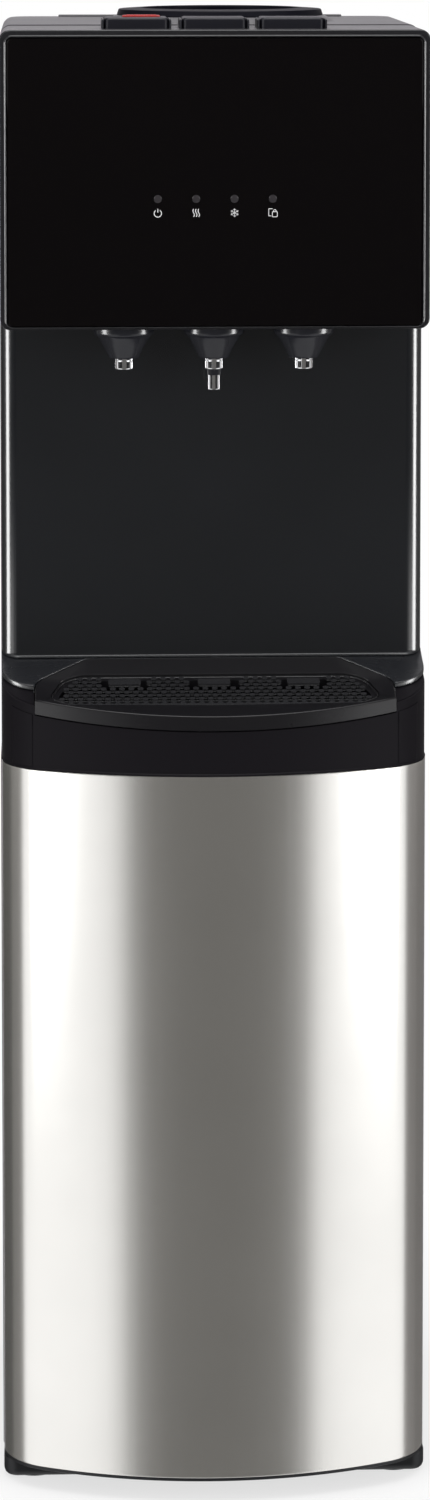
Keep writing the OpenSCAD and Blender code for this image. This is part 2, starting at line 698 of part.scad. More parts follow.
module top_cover() {
  color([0.45, 0.45, 0.47]) difference() {
    union() {
      difference() {
        cover_block(0, cover_z);
        cover_block(wall_t, cover_z - 1);
      }
      translate([well_x, well_y, top_z - eps]) cylinder(r1 = seat_r + 9, r2 = seat_r + 1, h = pad_h + eps);
      translate([-rib_w / 2, yd(head_back_d) - 10 - rib_depth, top_z - eps]) cube([rib_w, rib_depth, rib_h]);
      // Ledge that closes the overhang behind the back panel
      slab(2 * (hw - head_back_r), body_d + joint_gap, head_back_d - 1, cover_z, cover_z + wall_t);
      // Collar that reaches down to the rim of the cold tank
      rod_z(well_x, well_y, cold_z + cold_h + joint_gap, top_z - 1, seat_top_r + 3);
    }
    rod_z(well_x, well_y, cold_z + cold_h - 1, pad_top + 1, seat_top_r);
  }
}

rod_top = button_top - wall_t;
rod_low = valve_z + valve_h - 8;

module button_guide() {
  color([0.2, 0.2, 0.2]) difference() {
    union() {
      translate([-guide_half_w, button_y - 14, guide_z]) cube([2 * guide_half_w, 28, guide_t]);
      for (x = [6 - guide_half_w, -button_pitch / 2, button_pitch / 2, guide_half_w - 6])
        rod_z(x, button_y, guide_z, top_z - wall_t, 4);
    }
    for (x = button_x) rod_z(x, button_y, guide_z - 1, guide_z + guide_t + 1, rod_r + 0.08);
  }
}

// The child lock slides forward in a pocket near the back of the hot button
button_wall = 2;
lock_x = button_x[0] + 4;
lock_y = yd(button_front_d + button_d) - 1.5 - lock_d;
lock_floor_z = button_top - 1.5;

module button(x, lock) {
  color([0.07, 0.07, 0.08]) difference() {
    translate([x - button_w / 2, yd(button_front_d), button_skirt_z])
      cube([button_w, button_d, button_top - button_skirt_z]);
    translate([x - button_w / 2 + button_wall, yd(button_front_d) + button_wall, button_skirt_z - 1])
      cube([button_w - 2 * button_wall, button_d - 2 * button_wall, button_top - button_skirt_z - wall_t + 1]);
    if (lock) translate([lock_x - lock_w / 2 - joint_gap, lock_y - lock_travel - joint_gap, lock_floor_z])
      cube([lock_w + 2 * joint_gap, lock_d + lock_travel + 2 * joint_gap, 3]);
  }
}

module button_hot() { button(button_x[0], true); }
module button_normal() { button(button_x[1], false); }
module button_cold() { button(button_x[2], false); }

module child_lock_slider() {
  color([0.75, 0.05, 0.06]) translate([lock_x - lock_w / 2, lock_y, lock_floor_z + joint_gap / 2])
    cube([lock_w, lock_d, 2.5]);
}

// A rod under a button, with a foot that reaches over to the valve below
arm_z = valve_z + valve_h + button_travel + 4;
arm_t = 3;

module push_rod(i) {
  color([0.85, 0.85, 0.85]) {
    rod_z(button_x[i], button_y, arm_z + arm_t, rod_top, rod_r);
    translate([min(button_x[i], tap_x[i]) - 5, min(button_y, tap_y) - 5, arm_z])
      cube([abs(button_x[i] - tap_x[i]) + 10, abs(button_y - tap_y) + 10, arm_t + eps]);
    rod_z(tap_x[i], tap_y, rod_low, arm_z + eps, rod_r);
  }
}

module push_rod_hot() { push_rod(0); }
module push_rod_normal() { push_rod(1); }
module push_rod_cold() { push_rod(2); }

spring_z0 = guide_z + guide_t;
spring_turns = 6;
spring_wire = 0.6;

// Return spring round a push rod, from the guide up to the button
module return_spring(x) {
  r = rod_r + 1.4;
  n = 12 * spring_turns;
  h = rod_top - spring_z0 - 2 * (spring_wire + 0.15);
  color([0.7, 0.7, 0.72]) tube([for (i = [0:n]) [x + r * cos(30 * i), button_y + r * sin(30 * i),
    spring_z0 + spring_wire + 0.15 + h * i / n]], spring_wire, 6);
}

module spring_hot() { return_spring(button_x[0]); }
module spring_normal() { return_spring(button_x[1]); }
module spring_cold() { return_spring(button_x[2]); }

module tap_valves() {
  color([0.85, 0.85, 0.82]) for (x = tap_x) difference() {
    union() {
      rod_z(x, tap_y, valve_z, valve_z + valve_h, valve_r);
      rod_y(x, tap_y, valve_port_y, valve_port_z, port_r);
    }
    rod_z(x, tap_y, rod_low - button_travel - 2, valve_z + valve_h + 1, rod_r + 0.08);
    rod_z(x, tap_y, valve_z - 1, valve_z + 10, bore_r);
  }
}

module tap_cones() {
  color([0.16, 0.16, 0.18]) for (x = tap_x) difference() {
    translate([x, tap_y, head_bottom_z - cone_h]) cylinder(r1 = cone_low_r, r2 = cone_top_r, h = cone_h);
    rod_z(x, tap_y, head_bottom_z - cone_h - 1, head_bottom_z + 1, tip_r + 0.05);
  }
}

tip_z = head_bottom_z - cone_h - tip_h;

module tap_tips() {
  color([0.8, 0.8, 0.82]) for (x = tap_x) difference() {
    rod_z(x, tap_y, tip_z, head_bottom_z, tip_r);
    rod_z(x, tap_y, tip_z - 1, head_bottom_z + 1, bore_r);
  }
}

module middle_spout() {
  color([0.8, 0.8, 0.82]) difference() {
    union() {
      rod_z(0, tap_y, tip_z - spout_collar_h, tip_z, spout_r + 0.8);
      rod_z(0, tap_y, tip_z - spout_collar_h - spout_h, tip_z - spout_collar_h + eps, spout_r);
    }
    rod_z(0, tap_y, tip_z - spout_collar_h - spout_h - 1, tip_z + 1, bore_r);
  }
}

funnel_h = 45;
neck_z = pad_top - funnel_h - neck_h;

module bottle_seat() {
  color([0.05, 0.05, 0.06]) translate([well_x, well_y, 0]) rotate_extrude($fn = 96) polygon([
    [neck_r, neck_z], [neck_r + wall_t, neck_z], [neck_r + wall_t, neck_z + neck_h - 2],
    [seat_hole_r + wall_t, pad_top - 10], [seat_hole_r + wall_t, pad_top - 2], [seat_top_r - 1, pad_top - 2],
    [seat_top_r - 1, pad_top], [seat_r, pad_top], [seat_r - 1.5, pad_top + seat_h - seat_slope_h],
    [seat_hole_r + 1.2, pad_top + seat_h], [seat_hole_r, pad_top + seat_h - 1.2], [seat_hole_r, pad_top - 8],
    [neck_r, neck_z + neck_h]]);
}

module cold_tank() {
  color([0.8, 0.8, 0.82]) difference() {
    union() {
      rod_z(well_x, well_y, cold_z, cold_z + cold_h, cold_r);
      for (x = [0, tap_pitch]) rod_y(x, well_y - foam_r - 6, well_y - 20, outlet_z, port_r);
      rod_z(well_x, well_y, cold_z - 26, cold_z + 1, port_r);
    }
    rod_z(well_x, well_y, cold_z + cold_wall, cold_z + cold_h + 1, cold_r - cold_wall);
  }
}

baffle_z = cold_z + 0.57 * cold_h;
baffle_t = 3;

module cold_tank_baffle() {
  color([0.9, 0.9, 0.9]) difference() {
    union() {
      rod_z(well_x, well_y, baffle_z, baffle_z + baffle_t, cold_r - cold_wall - joint_gap);
      rod_z(well_x, well_y, cold_z + cold_wall, baffle_z + eps, 9);
    }
    rod_z(well_x, well_y, cold_z, baffle_z + baffle_t + 1, 6);
  }
}

evap_turns = 7;
evap_pitch = 12;

module evaporator_coil() {
  color([0.72, 0.42, 0.26]) translate([well_x, well_y, evap_z]) {
    for (i = [0:evap_turns - 1]) translate([0, 0, i * evap_pitch])
      rotate_extrude() translate([evap_path_r, 0]) circle(r = evap_r, $fn = 24);
    translate([-1.5, evap_path_r - 1.5, 0]) cube([3, 3, (evap_turns - 1) * evap_pitch]);
  }
}

module cold_tank_foam() {
  color([0.93, 0.93, 0.9]) difference() {
    rod_z(well_x, well_y, foam_z, cold_z + cold_h - 2, foam_r);
    rod_z(well_x, well_y, cold_z, cold_z + cold_h, foam_in_r);
    rod_z(well_x, well_y, foam_z - 1, cold_z + 1, port_r + joint_gap);
    rod_z(suction_xy[0], suction_xy[1], foam_z - 1, cold_z + 1, suction_r + 1);
    rod_z(liquid_xy[0], liquid_xy[1], foam_z - 1, cold_z + 1, liquid_r + joint_gap);
    for (x = [0, tap_pitch]) rod_y(x, well_y - foam_r - 10, well_y - 20, outlet_z, port_r + joint_gap);
  }
}

module tank_shelf() {
  color([0.7, 0.7, 0.72]) {
    difference() {
      slab(2 * rear_half_w, seam_d + 1, body_d - 3 * sheet_t - 1, shelf_plate_z, shelf_plate_z + shelf_plate_t);
      rod_z(well_x, well_y, shelf_plate_z - 1, foam_z + 1, port_r + 8);
      rod_z(-tap_pitch, hot_port_y, shelf_plate_z - 1, foam_z + 1, port_r + 4);
      rod_z(suction_xy[0], suction_xy[1], shelf_plate_z - 1, foam_z + 1, suction_r + 2);
      rod_z(liquid_xy[0], liquid_xy[1], shelf_plate_z - 1, foam_z + 1, liquid_r + 2);
    }
    for (x = [-1, 1])
      translate([x * (rear_half_w - sheet_t / 2) - sheet_t / 2, yd(seam_d + 1), shelf_plate_z - shelf_lip_h])
        cube([sheet_t, body_d - 4 * sheet_t - seam_d - 1, shelf_lip_h + eps]);
  }
}

hot_wall = 1.2;
// The ports stand out of the tank by this much
port_h = 10;
hot_drain_x = hot_x + 20;
hot_drain_y = hot_y + 20;

module hot_tank() {
  color([0.78, 0.78, 0.8]) difference() {
    union() {
      rod_z(hot_x, hot_y, hot_z, hot_z + hot_h, hot_r);
      rod_z(-tap_pitch, hot_port_y, hot_z + hot_h - hot_wall, hot_z + hot_h + 8, port_r);
      rod_z(hot_x, hot_y, hot_z - port_h, hot_z + hot_wall, port_r);
      rod_z(hot_drain_x, hot_drain_y, hot_z - port_h, hot_z + hot_wall, port_r);
    }
    rod_z(hot_x, hot_y, hot_z + hot_wall, hot_z + hot_h - hot_wall, hot_r - hot_wall);
  }
}

bracket_t = 2;
bracket_w = hot_r + 12;
bracket_lip_h = 40;

module hot_tank_bracket() {
  color([0.7, 0.7, 0.72]) difference() {
    translate([-rear_half_w, hot_y - bracket_w / 2, hot_z - bracket_t]) {
      cube([hot_x + rear_half_w + hot_r + 2, bracket_w, bracket_t]);
      cube([sheet_t, bracket_w, bracket_lip_h]);
    }
    rod_z(hot_x, hot_y, hot_z - bracket_t - 1, hot_z + 1, port_r + 2);
    rod_z(hot_drain_x, hot_drain_y, hot_z - bracket_t - 1, hot_z + 1, port_r + 2);
  }
}

heater_z = hot_z + 30;
heater_h = 45;
heater_t = 5;

module heater_band() {
  color([0.55, 0.5, 0.45]) difference() {
    rod_z(hot_x, hot_y, heater_z, heater_z + heater_h, hot_r + heater_t);
    rod_z(hot_x, hot_y, heater_z - 1, heater_z + heater_h + 1, hot_r + joint_gap / 2);
  }
}

module thermostats() {
  color([0.85, 0.8, 0.7]) for (z = [25, 50])
    rod_y(hot_x, hot_y + hot_r, hot_y + hot_r + 8, heater_z + heater_h + z, 8);
}

module water_hoses() {
  color([0.88, 0.88, 0.86]) {
    for (x = [0, tap_pitch]) rod_y(x, valve_port_y, well_y - foam_r - 6, outlet_z, port_r + 1.5);
    // Hot outlet, up through the shelf and forward to the left valve
    tube(smooth_path([[-tap_pitch, hot_port_y, hot_z + hot_h + 8], [-tap_pitch, hot_port_y, valve_port_z],
      [-tap_pitch, valve_port_y, valve_port_z]], 16, 5), port_r, 12);
    // Feed from the cold tank down and up into the hot tank
    tube(smooth_path([[well_x, well_y, cold_z - 26], [well_x, well_y, hot_z - 55], [hot_x, hot_y, hot_z - 55],
      [hot_x, hot_y, hot_z - port_h]], 20, 5), port_r, 12);
  }
}

drain_top = hot_z - port_h;
drain_y = back_y - 40;

module drain_pipe() {
  color([0.3, 0.3, 0.32]) {
    tube(smooth_path([[hot_drain_x, hot_drain_y, drain_top], [hot_drain_x, hot_drain_y, drain_top - 30],
      [drain_x, drain_y, drain_top - 60], [drain_x, drain_y, drain_z], [drain_x, back_y - 24, drain_z]],
      14, 5), port_r, 12);
    difference() {
      union() {
        rod_y(drain_x, back_y - 24, back_y + 14, drain_z, port_r + 3.6);
        rod_y(drain_x, back_y, back_y + 3, drain_z, port_r + 8);
      }
      rod_y(drain_x, back_y - 14, back_y + 20, drain_z, port_r);
    }
  }
}

module drain_plug() {
  color([0.75, 0.75, 0.74]) {
    rod_y(drain_x, back_y - 8, back_y + 14 + eps, drain_z, port_r - 0.1);
    rod_y(drain_x, back_y + 14, back_y + 19, drain_z, port_r + 4);
  }
}

mount_h = 12;
comp_plate_z = base_h + mount_h;
comp_plate_t = 3;
comp_plate_w = 164;
comp_plate_d = 104;
mount_xy = [for (x = [-1, 1], y = [-1, 1]) [x * (comp_plate_w / 2 - 12), comp_y + y * (comp_plate_d / 2 - 10)]];
comp_z = comp_plate_z + 6;
stub_z = comp_plate_z + comp_h + 14;
suction_x = -30;
discharge_x = 28;
can_t = 3.5;
mount_r = 5.3;
function can_line(t) = concat([[0, t], [comp_r * 0.55, t]], arc(comp_r - 22, 22, 22 - t, -60, 0, 5),
  arc(comp_r - 30, comp_h - 30, 30 - t, 0, 80, 6), [[0, comp_h - t]]);

module compressor() {
  color([0.05, 0.05, 0.05]) {
    difference() {
      translate([0, comp_y, comp_z]) rotate_extrude() polygon(can_line(0));
      translate([0, comp_y, comp_z]) rotate_extrude() polygon(can_line(can_t));
    }
    // Pump and motor inside the can
    rod_z(0, comp_y, comp_z + 1, comp_z + comp_h * 0.6, comp_r * 0.5);
    difference() {
      union() {
        translate([-comp_plate_w / 2, comp_y - comp_plate_d / 2, comp_plate_z])
          cube([comp_plate_w, comp_plate_d, comp_plate_t]);
        rod_z(0, comp_y, comp_plate_z + 2, comp_z + 1, comp_r * 0.5);
      }
      for (p = mount_xy) rod_z(p[0], p[1], comp_plate_z - 1, comp_plate_z + comp_plate_t + 1, mount_r + 0.2);
    }
    // Terminal cover and pipe stubs
    translate([comp_r - 6, comp_y - 20, comp_plate_z + 55]) cube([24, 40, 45]);
    rod_z(suction_x, comp_y, stub_z - 22, stub_z, 4);
    rod_z(discharge_x, comp_y + 10, stub_z - 22, stub_z, 4);
  }
}

module compressor_mounts() {
  color([0.15, 0.15, 0.15]) for (p = mount_xy) {
    rod_z(p[0], p[1], base_h, comp_plate_z, 10);
    rod_z(p[0], p[1], comp_plate_z - eps, comp_plate_z + comp_plate_t + eps, mount_r);
    rod_z(p[0], p[1], comp_plate_z + comp_plate_t, comp_plate_z + comp_plate_t + 3, 8);
  }
}

drier_x = -110;
drier_y = back_y - 25;
drier_z = 300;
drier_h = 94;
riser_x = 110;
cond_in_z = cond_z + 10;
cond_pitch = (cond_h - 20) / (cond_runs - 1);
cond_out_z = cond_in_z + (cond_runs - 1) * cond_pitch;
cond_end_x = cond_w / 2 - cond_pitch / 2;
evap_z = cold_z + 22;
evap_end_z = evap_z - evap_r - 0.15;
suction_r = 3.5;
liquid_r = 1.5;
suction_xy = [well_x, well_y + evap_path_r];
liquid_xy = [well_x - evap_path_r, well_y];

module refrigerant_pipes() {
  color([0.72, 0.42, 0.26]) {
    // Suction, from the evaporator down to the compressor
    tube(smooth_path([[suction_xy[0], suction_xy[1], evap_end_z], [suction_xy[0], suction_xy[1], 420],
      [suction_x, comp_y, 420], [suction_x, comp_y, stub_z]], 20, 5), suction_r, 8);
    // Discharge, from the compressor up to the top of the condenser
    tube(smooth_path([[discharge_x, comp_y + 10, stub_z], [discharge_x, comp_y + 10, stub_z + 30],
      [riser_x, drier_y, stub_z + 50], [riser_x, drier_y, cond_out_z], [riser_x, cond_plane_y, cond_out_z],
      [cond_end_x, cond_plane_y, cond_out_z]], 12, 4), cond_tube_r, 8);
    // From the foot of the condenser to the drier
    tube(smooth_path([[-cond_end_x, cond_plane_y, cond_in_z], [drier_x, cond_plane_y, cond_in_z],
      [drier_x, drier_y, cond_in_z], [drier_x, drier_y, drier_z]], 12, 4), cond_tube_r, 8);
    // Thin liquid line, from the drier up to the evaporator
    tube(smooth_path([[drier_x, drier_y, drier_z + drier_h], [drier_x, drier_y, 770],
      [liquid_xy[0], liquid_xy[1], 810], [liquid_xy[0], liquid_xy[1], evap_end_z]], 10, 4), liquid_r, 8);
  }
}

module filter_drier() {
  color([0.72, 0.42, 0.26]) translate([drier_x, drier_y, drier_z]) rotate_extrude() polygon([
    [0, 0], [3, 0], [3, 6], [9, 14], [9, drier_h - 14], [3, drier_h - 6], [3, drier_h], [0, drier_h]]);
  // Clip that holds the drier to the back sheet
  color([0.6, 0.6, 0.62]) translate([drier_x - 4, drier_y + 8, drier_z + 30])
    cube([8, back_y - sheet_t - joint_gap - drier_y - 8, 20]);
}

module condenser() {
  w = cond_end_x;
  wire_y = cond_tube_r + cond_wire_r + cond_gap;
  color([0.04, 0.04, 0.04]) translate([0, cond_plane_y, cond_in_z]) {
    for (i = [0:cond_runs - 1]) translate([-w, 0, i * cond_pitch])
      rotate([0, 90, 0]) cylinder(r = cond_tube_r, h = 2 * w, $fn = 24);
    for (i = [0:cond_runs - 2]) let (s = i % 2 == 0 ? 1 : -1)
      translate([s * w, 0, (i + 0.5) * cond_pitch]) rotate([90, 0, 0]) rotate(s > 0 ? -90 : 90)
        rotate_extrude(angle = 180, $fn = 32) translate([cond_pitch / 2, 0]) circle(r = cond_tube_r, $fn = 24);
    for (i = [0:cond_wires - 1], y = [-wire_y, wire_y])
      translate([(i - (cond_wires - 1) / 2) * 2 * w / cond_wires, y, -10])
        cylinder(r = cond_wire_r, h = cond_h, $fn = 16);
  }
}

bracket_x = cond_end_x - 12;

module condenser_brackets() {
  reach = cond_plane_y - cond_tube_r - 2 * cond_wire_r - 2 * cond_gap - back_y;
  color([0.1, 0.1, 0.1]) for (x = [-1, 1], i = [1, cond_runs - 2])
    translate([x * bracket_x - 8, back_y, cond_in_z + i * cond_pitch - 10]) {
      cube([16, 1.2, 20]);
      translate([0, 0, 8]) cube([16, reach, 4]);
    }
}

box_w = 44;
box_d = 70;
box_h = 95;
box_z = 430;
box_wall = 2;

module control_box() {
  color([0.85, 0.85, 0.83]) translate([rear_half_w - box_w, well_y - 75, box_z]) difference() {
    cube([box_w, box_d, box_h]);
    translate([box_wall, box_wall, box_wall]) cube([box_w, box_d, box_h] - 2 * box_wall * [1, 1, 1]);
  }
}

pivot_y = back_y - 4;
pivot_r = 1.55;
pivot_in = 1.3;

// A box round the whole pair of switches, larger by t
module switch_block(t, y0, y1) {
  translate([-switch_pitch - t, y0, switch_z - switch_h / 2 - t])
    cube([2 * (switch_pitch + t), y1 - y0, switch_h + 2 * t]);
}

module switch_frame() {
  color([0.1, 0.1, 0.1]) difference() {
    union() {
      switch_block(switch_wall, back_y - switch_body_d, back_y + eps);
      switch_block(switch_rim, back_y, back_y + 2);
    }
    for (s = [-0.5, 0.5]) translate([s * switch_pitch, 0, switch_z]) {
      translate([-switch_w / 2, back_y - switch_body_d + 2, -switch_h / 2])
        cube([switch_w, switch_body_d + 2, switch_h]);
      translate([-switch_w / 2 - pivot_in - 0.2, pivot_y, 0]) rotate([0, 90, 0])
        cylinder(r = pivot_r + 0.05, h = switch_w + 2 * pivot_in + 0.4);
    }
  }
}

module rocker(s) {
  half_h = switch_h / 2 - 1.5;
  rocker_w = switch_w - 0.8;
  translate([s * switch_pitch, pivot_y, switch_z]) rotate([rocker_tilt, 0, 0]) {
    translate([-rocker_w / 2, 0, 0]) rotate([90, 0, 90]) linear_extrude(rocker_w) polygon([
      [-5, -7], [0, -half_h], [7, -half_h], [4.2, 0], [7, half_h], [0, half_h], [-5, 7]]);
    translate([-switch_w / 2 - pivot_in, 0, 0]) rotate([0, 90, 0])
      cylinder(r = pivot_r, h = switch_w + 2 * pivot_in);
  }
}

module hot_switch_rocker() { color([0.7, 0.08, 0.06]) rocker(-0.5); }
module cold_switch_rocker() { color([0.08, 0.4, 0.15]) rocker(0.5); }

module cord_gland() {
  color([0.06, 0.06, 0.06]) difference() {
    union() {
      rod_y(gland_x, back_y - 12, back_y + 14, gland_z, gland_r);
      rod_y(gland_x, back_y, back_y + 3, gland_z, 12);
      translate([gland_x, back_y - sheet_t - joint_gap, gland_z]) rotate([90, 0, 0])
        cylinder(r = 13, h = 5, $fn = 6);
    }
    rod_y(gland_x, back_y - 20, back_y + 20, gland_z, cord_r);
  }
}

base_plate();
foot_pads();
floor_strip();
steel_front_panel();
side_panel_left();
side_panel_right();
rear_panel();
rear_screws();
tray_housing();
shelf_surround();
niche_panel();
drip_tray();
drip_grid();
head_shell();
head_bezel();
fascia_panel();
indicator_lenses();
indicator_board();
top_cover();
button_guide();
button_hot();
button_normal();
button_cold();
child_lock_slider();
push_rod_hot();
push_rod_normal();
push_rod_cold();
spring_hot();
spring_normal();
spring_cold();
tap_valves();
tap_cones();
tap_tips();
middle_spout();
bottle_seat();
cold_tank();
cold_tank_baffle();
evaporator_coil();
cold_tank_foam();
tank_shelf();
hot_tank();
hot_tank_bracket();
heater_band();
thermostats();
water_hoses();
drain_pipe();
drain_plug();
compressor();
compressor_mounts();
refrigerant_pipes();
filter_drier();
condenser();
condenser_brackets();
control_box();
switch_frame();
hot_switch_rocker();
cold_switch_rocker();
cord_gland();
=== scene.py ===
# %% [markdown]
# # The looks of a free-standing water dispenser
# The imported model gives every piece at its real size. Here each piece that shows gets a finer mesh in
# the same place, and every surface gets a finish made of shader nodes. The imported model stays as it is.

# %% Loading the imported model
import json
import math

import bmesh
import bpy
from mathutils import Matrix, Vector


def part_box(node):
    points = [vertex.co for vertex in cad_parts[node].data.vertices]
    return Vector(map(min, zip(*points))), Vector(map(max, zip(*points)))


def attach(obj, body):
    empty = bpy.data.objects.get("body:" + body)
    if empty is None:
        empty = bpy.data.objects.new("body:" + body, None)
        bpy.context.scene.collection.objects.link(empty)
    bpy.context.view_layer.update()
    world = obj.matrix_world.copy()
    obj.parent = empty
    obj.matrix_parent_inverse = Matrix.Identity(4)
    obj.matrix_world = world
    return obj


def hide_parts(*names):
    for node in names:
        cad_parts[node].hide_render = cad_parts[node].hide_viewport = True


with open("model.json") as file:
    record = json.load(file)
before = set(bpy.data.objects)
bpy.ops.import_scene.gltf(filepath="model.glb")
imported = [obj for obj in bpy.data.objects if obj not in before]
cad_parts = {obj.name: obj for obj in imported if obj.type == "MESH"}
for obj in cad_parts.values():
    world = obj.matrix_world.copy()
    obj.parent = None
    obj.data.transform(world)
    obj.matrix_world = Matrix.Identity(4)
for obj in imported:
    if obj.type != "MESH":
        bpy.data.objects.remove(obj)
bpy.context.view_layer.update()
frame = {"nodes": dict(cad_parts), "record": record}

# %% [markdown]
# The shapes below are written in millimetres, because that is how the part was drawn, and one scale turns
# them into metres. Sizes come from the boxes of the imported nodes, so that each piece fits the one that it
# stands for. The front of the dispenser looks towards -Y, and a depth is counted back from its foremost
# point.

# %% Millimetres and the sizes taken from the model
MM = 0.001


class Box:
    """The box of a node, in millimetres."""

    def __init__(self, node):
        low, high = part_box(node)
        self.x0, self.y0, self.z0 = (v / MM for v in low)
        self.x1, self.y1, self.z1 = (v / MM for v in high)
        self.cx, self.cy, self.cz = ((low[i] + high[i]) / 2 / MM for i in range(3))
        self.h = self.z1 - self.z0


steel_box = Box("steel_front_panel")
shell_box = Box("head_shell")
bezel_box = Box("head_bezel")
cover_box = Box("top_cover")
niche_box = Box("niche_panel")
front_y = steel_box.y0
half_w = steel_box.x1
head_z0 = bezel_box.z0
head_z1 = bezel_box.z1


def at_depth(depth):
    return front_y + depth


print("half width", round(half_w, 2), "head from", round(head_z0, 1), "to", round(head_z1, 1))

# %% [markdown]
# ## Outlines
# Most pieces are outlines that are swept or stacked: the curved front seen from above, rounded rectangles,
# and polygons whose corners are rounded one by one. Each helper returns a plain list of points, so that the
# same few can draw all of the casings.

# %% Outline helpers
FRONT_ARC_R = 305
FRONT_CORNER_R = 45
arc_cy = front_y + FRONT_ARC_R
corner_cx = half_w - FRONT_CORNER_R
corner_cy = arc_cy - math.sqrt((FRONT_ARC_R - FRONT_CORNER_R) ** 2 - corner_cx**2)
corner_angle = math.atan2(corner_cy - arc_cy, corner_cx)


def arc(cx, cy, r, start, end, steps):
    """Points on an arc, with its angles in radians."""
    angles = [start + (end - start) * i / steps for i in range(steps + 1)]
    return [(cx + r * math.cos(a), cy + r * math.sin(a)) for a in angles]


def arc_front_y(x, inset):
    return arc_cy - math.sqrt((FRONT_ARC_R - inset) ** 2 - x * x)


def front_plan(inset, back_y, corner_steps=14, arc_steps=40):
    """The curved front from above, from its right back end round to its left back end."""
    right = [(half_w - inset, back_y)]
    right += arc(corner_cx, corner_cy, FRONT_CORNER_R - inset, 0, corner_angle, corner_steps)
    right += arc(0, arc_cy, FRONT_ARC_R - inset, corner_angle, -math.pi / 2, arc_steps)[1:]
    return right + [(-x, y) for x, y in reversed(right[:-1])]


def round_corner(a, p, b, r, steps=6):
    """The points that round the corner p between a and b."""
    a, p, b = Vector(a), Vector(p), Vector(b)
    if r <= 0:
        return [tuple(p)]
    u, v = (a - p).normalized(), (b - p).normalized()
    half = math.acos(max(-1, min(1, u.dot(v)))) / 2
    centre = p + (u + v).normalized() * r / math.sin(half)
    start = p + u * r / math.tan(half) - centre
    end = p + v * r / math.tan(half) - centre
    a0, turn = math.atan2(start.y, start.x), math.atan2(end.y, end.x) - math.atan2(start.y, start.x)
    turn = (turn + math.pi) % (2 * math.pi) - math.pi
    return [(centre.x + r * math.cos(a0 + turn * i / steps), centre.y + r * math.sin(a0 + turn * i / steps))
            for i in range(steps + 1)]


def round_poly(points, radii, steps=6):
    n = len(points)
    out = []
    for i in range(n):
        out += round_corner(points[i - 1], points[i], points[(i + 1) % n], radii[i], steps)
    return out


def round_rect(x0, y0, x1, y1, r, steps=6):
    """A rounded rectangle. r is one radius, or four from the low left corner, counterclockwise."""
    radii = r if isinstance(r, (list, tuple)) else [r] * 4
    return round_poly([(x0, y0), (x1, y0), (x1, y1), (x0, y1)], radii, steps)


def circle(cx, cy, r, steps=32):
    return [(cx + r * math.cos(2 * math.pi * i / steps), cy + r * math.sin(2 * math.pi * i / steps))
            for i in range(steps)]


def inset_loop(points, amount):
    """Moves a closed outline inwards by amount, where inwards is left of its direction."""
    n = len(points)
    out = []
    for i in range(n):
        a, p, b = Vector(points[i - 1]), Vector(points[i]), Vector(points[(i + 1) % n])
        e0, e1 = (p - a), (b - p)
        if e0.length < 1e-6 or e1.length < 1e-6:
            out.append(tuple(p))
            continue
        n0 = Vector((-e0.y, e0.x)).normalized()
        n1 = Vector((-e1.y, e1.x)).normalized()
        m = n0 + n1
        m = m / max(m.length_squared / 2, 0.35)
        out.append((p.x + m.x * amount, p.y + m.y * amount))
    return out


print("front outline points", len(front_plan(0, 0)))

# %% [markdown]
# ## Mesh builders
# A piece is built in bmesh in one of four ways: rings stacked into a skin (`fill_rings`), a profile turned
# round an axis (`lathe_rings`), a flat plate with holes whose rims are rounded (`add_plate`), and a tube
# along a path (`pipe_rings`). Edges sharper than a set angle are kept crisp and the rest is shaded smooth, as
# on a real moulding.

# %% Mesh builders
def fill_rings(bm, rings, closed_around=True, close_ends=True, close_back=False):
    """Joins rings of points, all with the same count, into a skin."""
    rows = [[bm.verts.new(Vector(p) * MM) for p in ring] for ring in rings]
    n = len(rows[0])
    pairs = list(zip(rows[:-1], rows[1:]))
    if close_back:
        pairs.append((rows[-1], rows[0]))
    for low, high in pairs:
        for i in range(n if closed_around else n - 1):
            j = (i + 1) % n
            bm.faces.new((low[i], low[j], high[j], high[i]))
    if close_ends and closed_around and not close_back:
        bm.faces.new(list(reversed(rows[0])))
        bm.faces.new(rows[-1])
    return rows


WELD = 0.000002
CRISP = math.radians(38)


def finish_piece(name, bm, material, body, slot, replaces=()):
    """Turns a bmesh into a piece that rides on a body."""
    bmesh.ops.remove_doubles(bm, verts=bm.verts, dist=WELD)
    bmesh.ops.dissolve_degenerate(bm, edges=bm.edges, dist=WELD / 2)
    bmesh.ops.recalc_face_normals(bm, faces=bm.faces)
    for face in bm.faces:
        face.smooth = True
    for edge in bm.edges:
        edge.smooth = len(edge.link_faces) == 2 and edge.calc_face_angle(0) < CRISP
    mesh = bpy.data.meshes.new(name)
    bm.to_mesh(mesh)
    bm.free()
    piece = bpy.data.objects.new(name, mesh)
    bpy.context.scene.collection.objects.link(piece)
    mesh.materials.append(material)
    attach(piece, body)
    if replaces:
        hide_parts(*replaces)
    flatter = piece.modifiers.new("flat_faces_stay_flat", "WEIGHTED_NORMAL")
    flatter.keep_sharp = True
    return piece


def lathe_rings(profile, centre=(0, 0, 0), steps=64, axis="Z"):
    """Rings for a profile of (radius, height) points turned round an axis through centre."""
    rings = []
    for r, h in profile:
        ring = []
        for i in range(steps):
            c, s = math.cos(2 * math.pi * i / steps), math.sin(2 * math.pi * i / steps)
            if axis == "Z":
                ring.append((centre[0] + r * c, centre[1] + r * s, centre[2] + h))
            elif axis == "Y":
                ring.append((centre[0] + r * c, centre[1] + h, centre[2] + r * s))
            else:
                ring.append((centre[0] + h, centre[1] + r * c, centre[2] + r * s))
        rings.append(ring)
    return rings


def fill_between(bm, rows):
    """Fills the flat face that closed rows of points bound."""
    edges = []
    for row in rows:
        edges += [bm.edges.get((row[i], row[(i + 1) % len(row)])) for i in range(len(row))]
    bmesh.ops.triangle_fill(bm, use_beauty=True, use_dissolve=False, edges=edges)


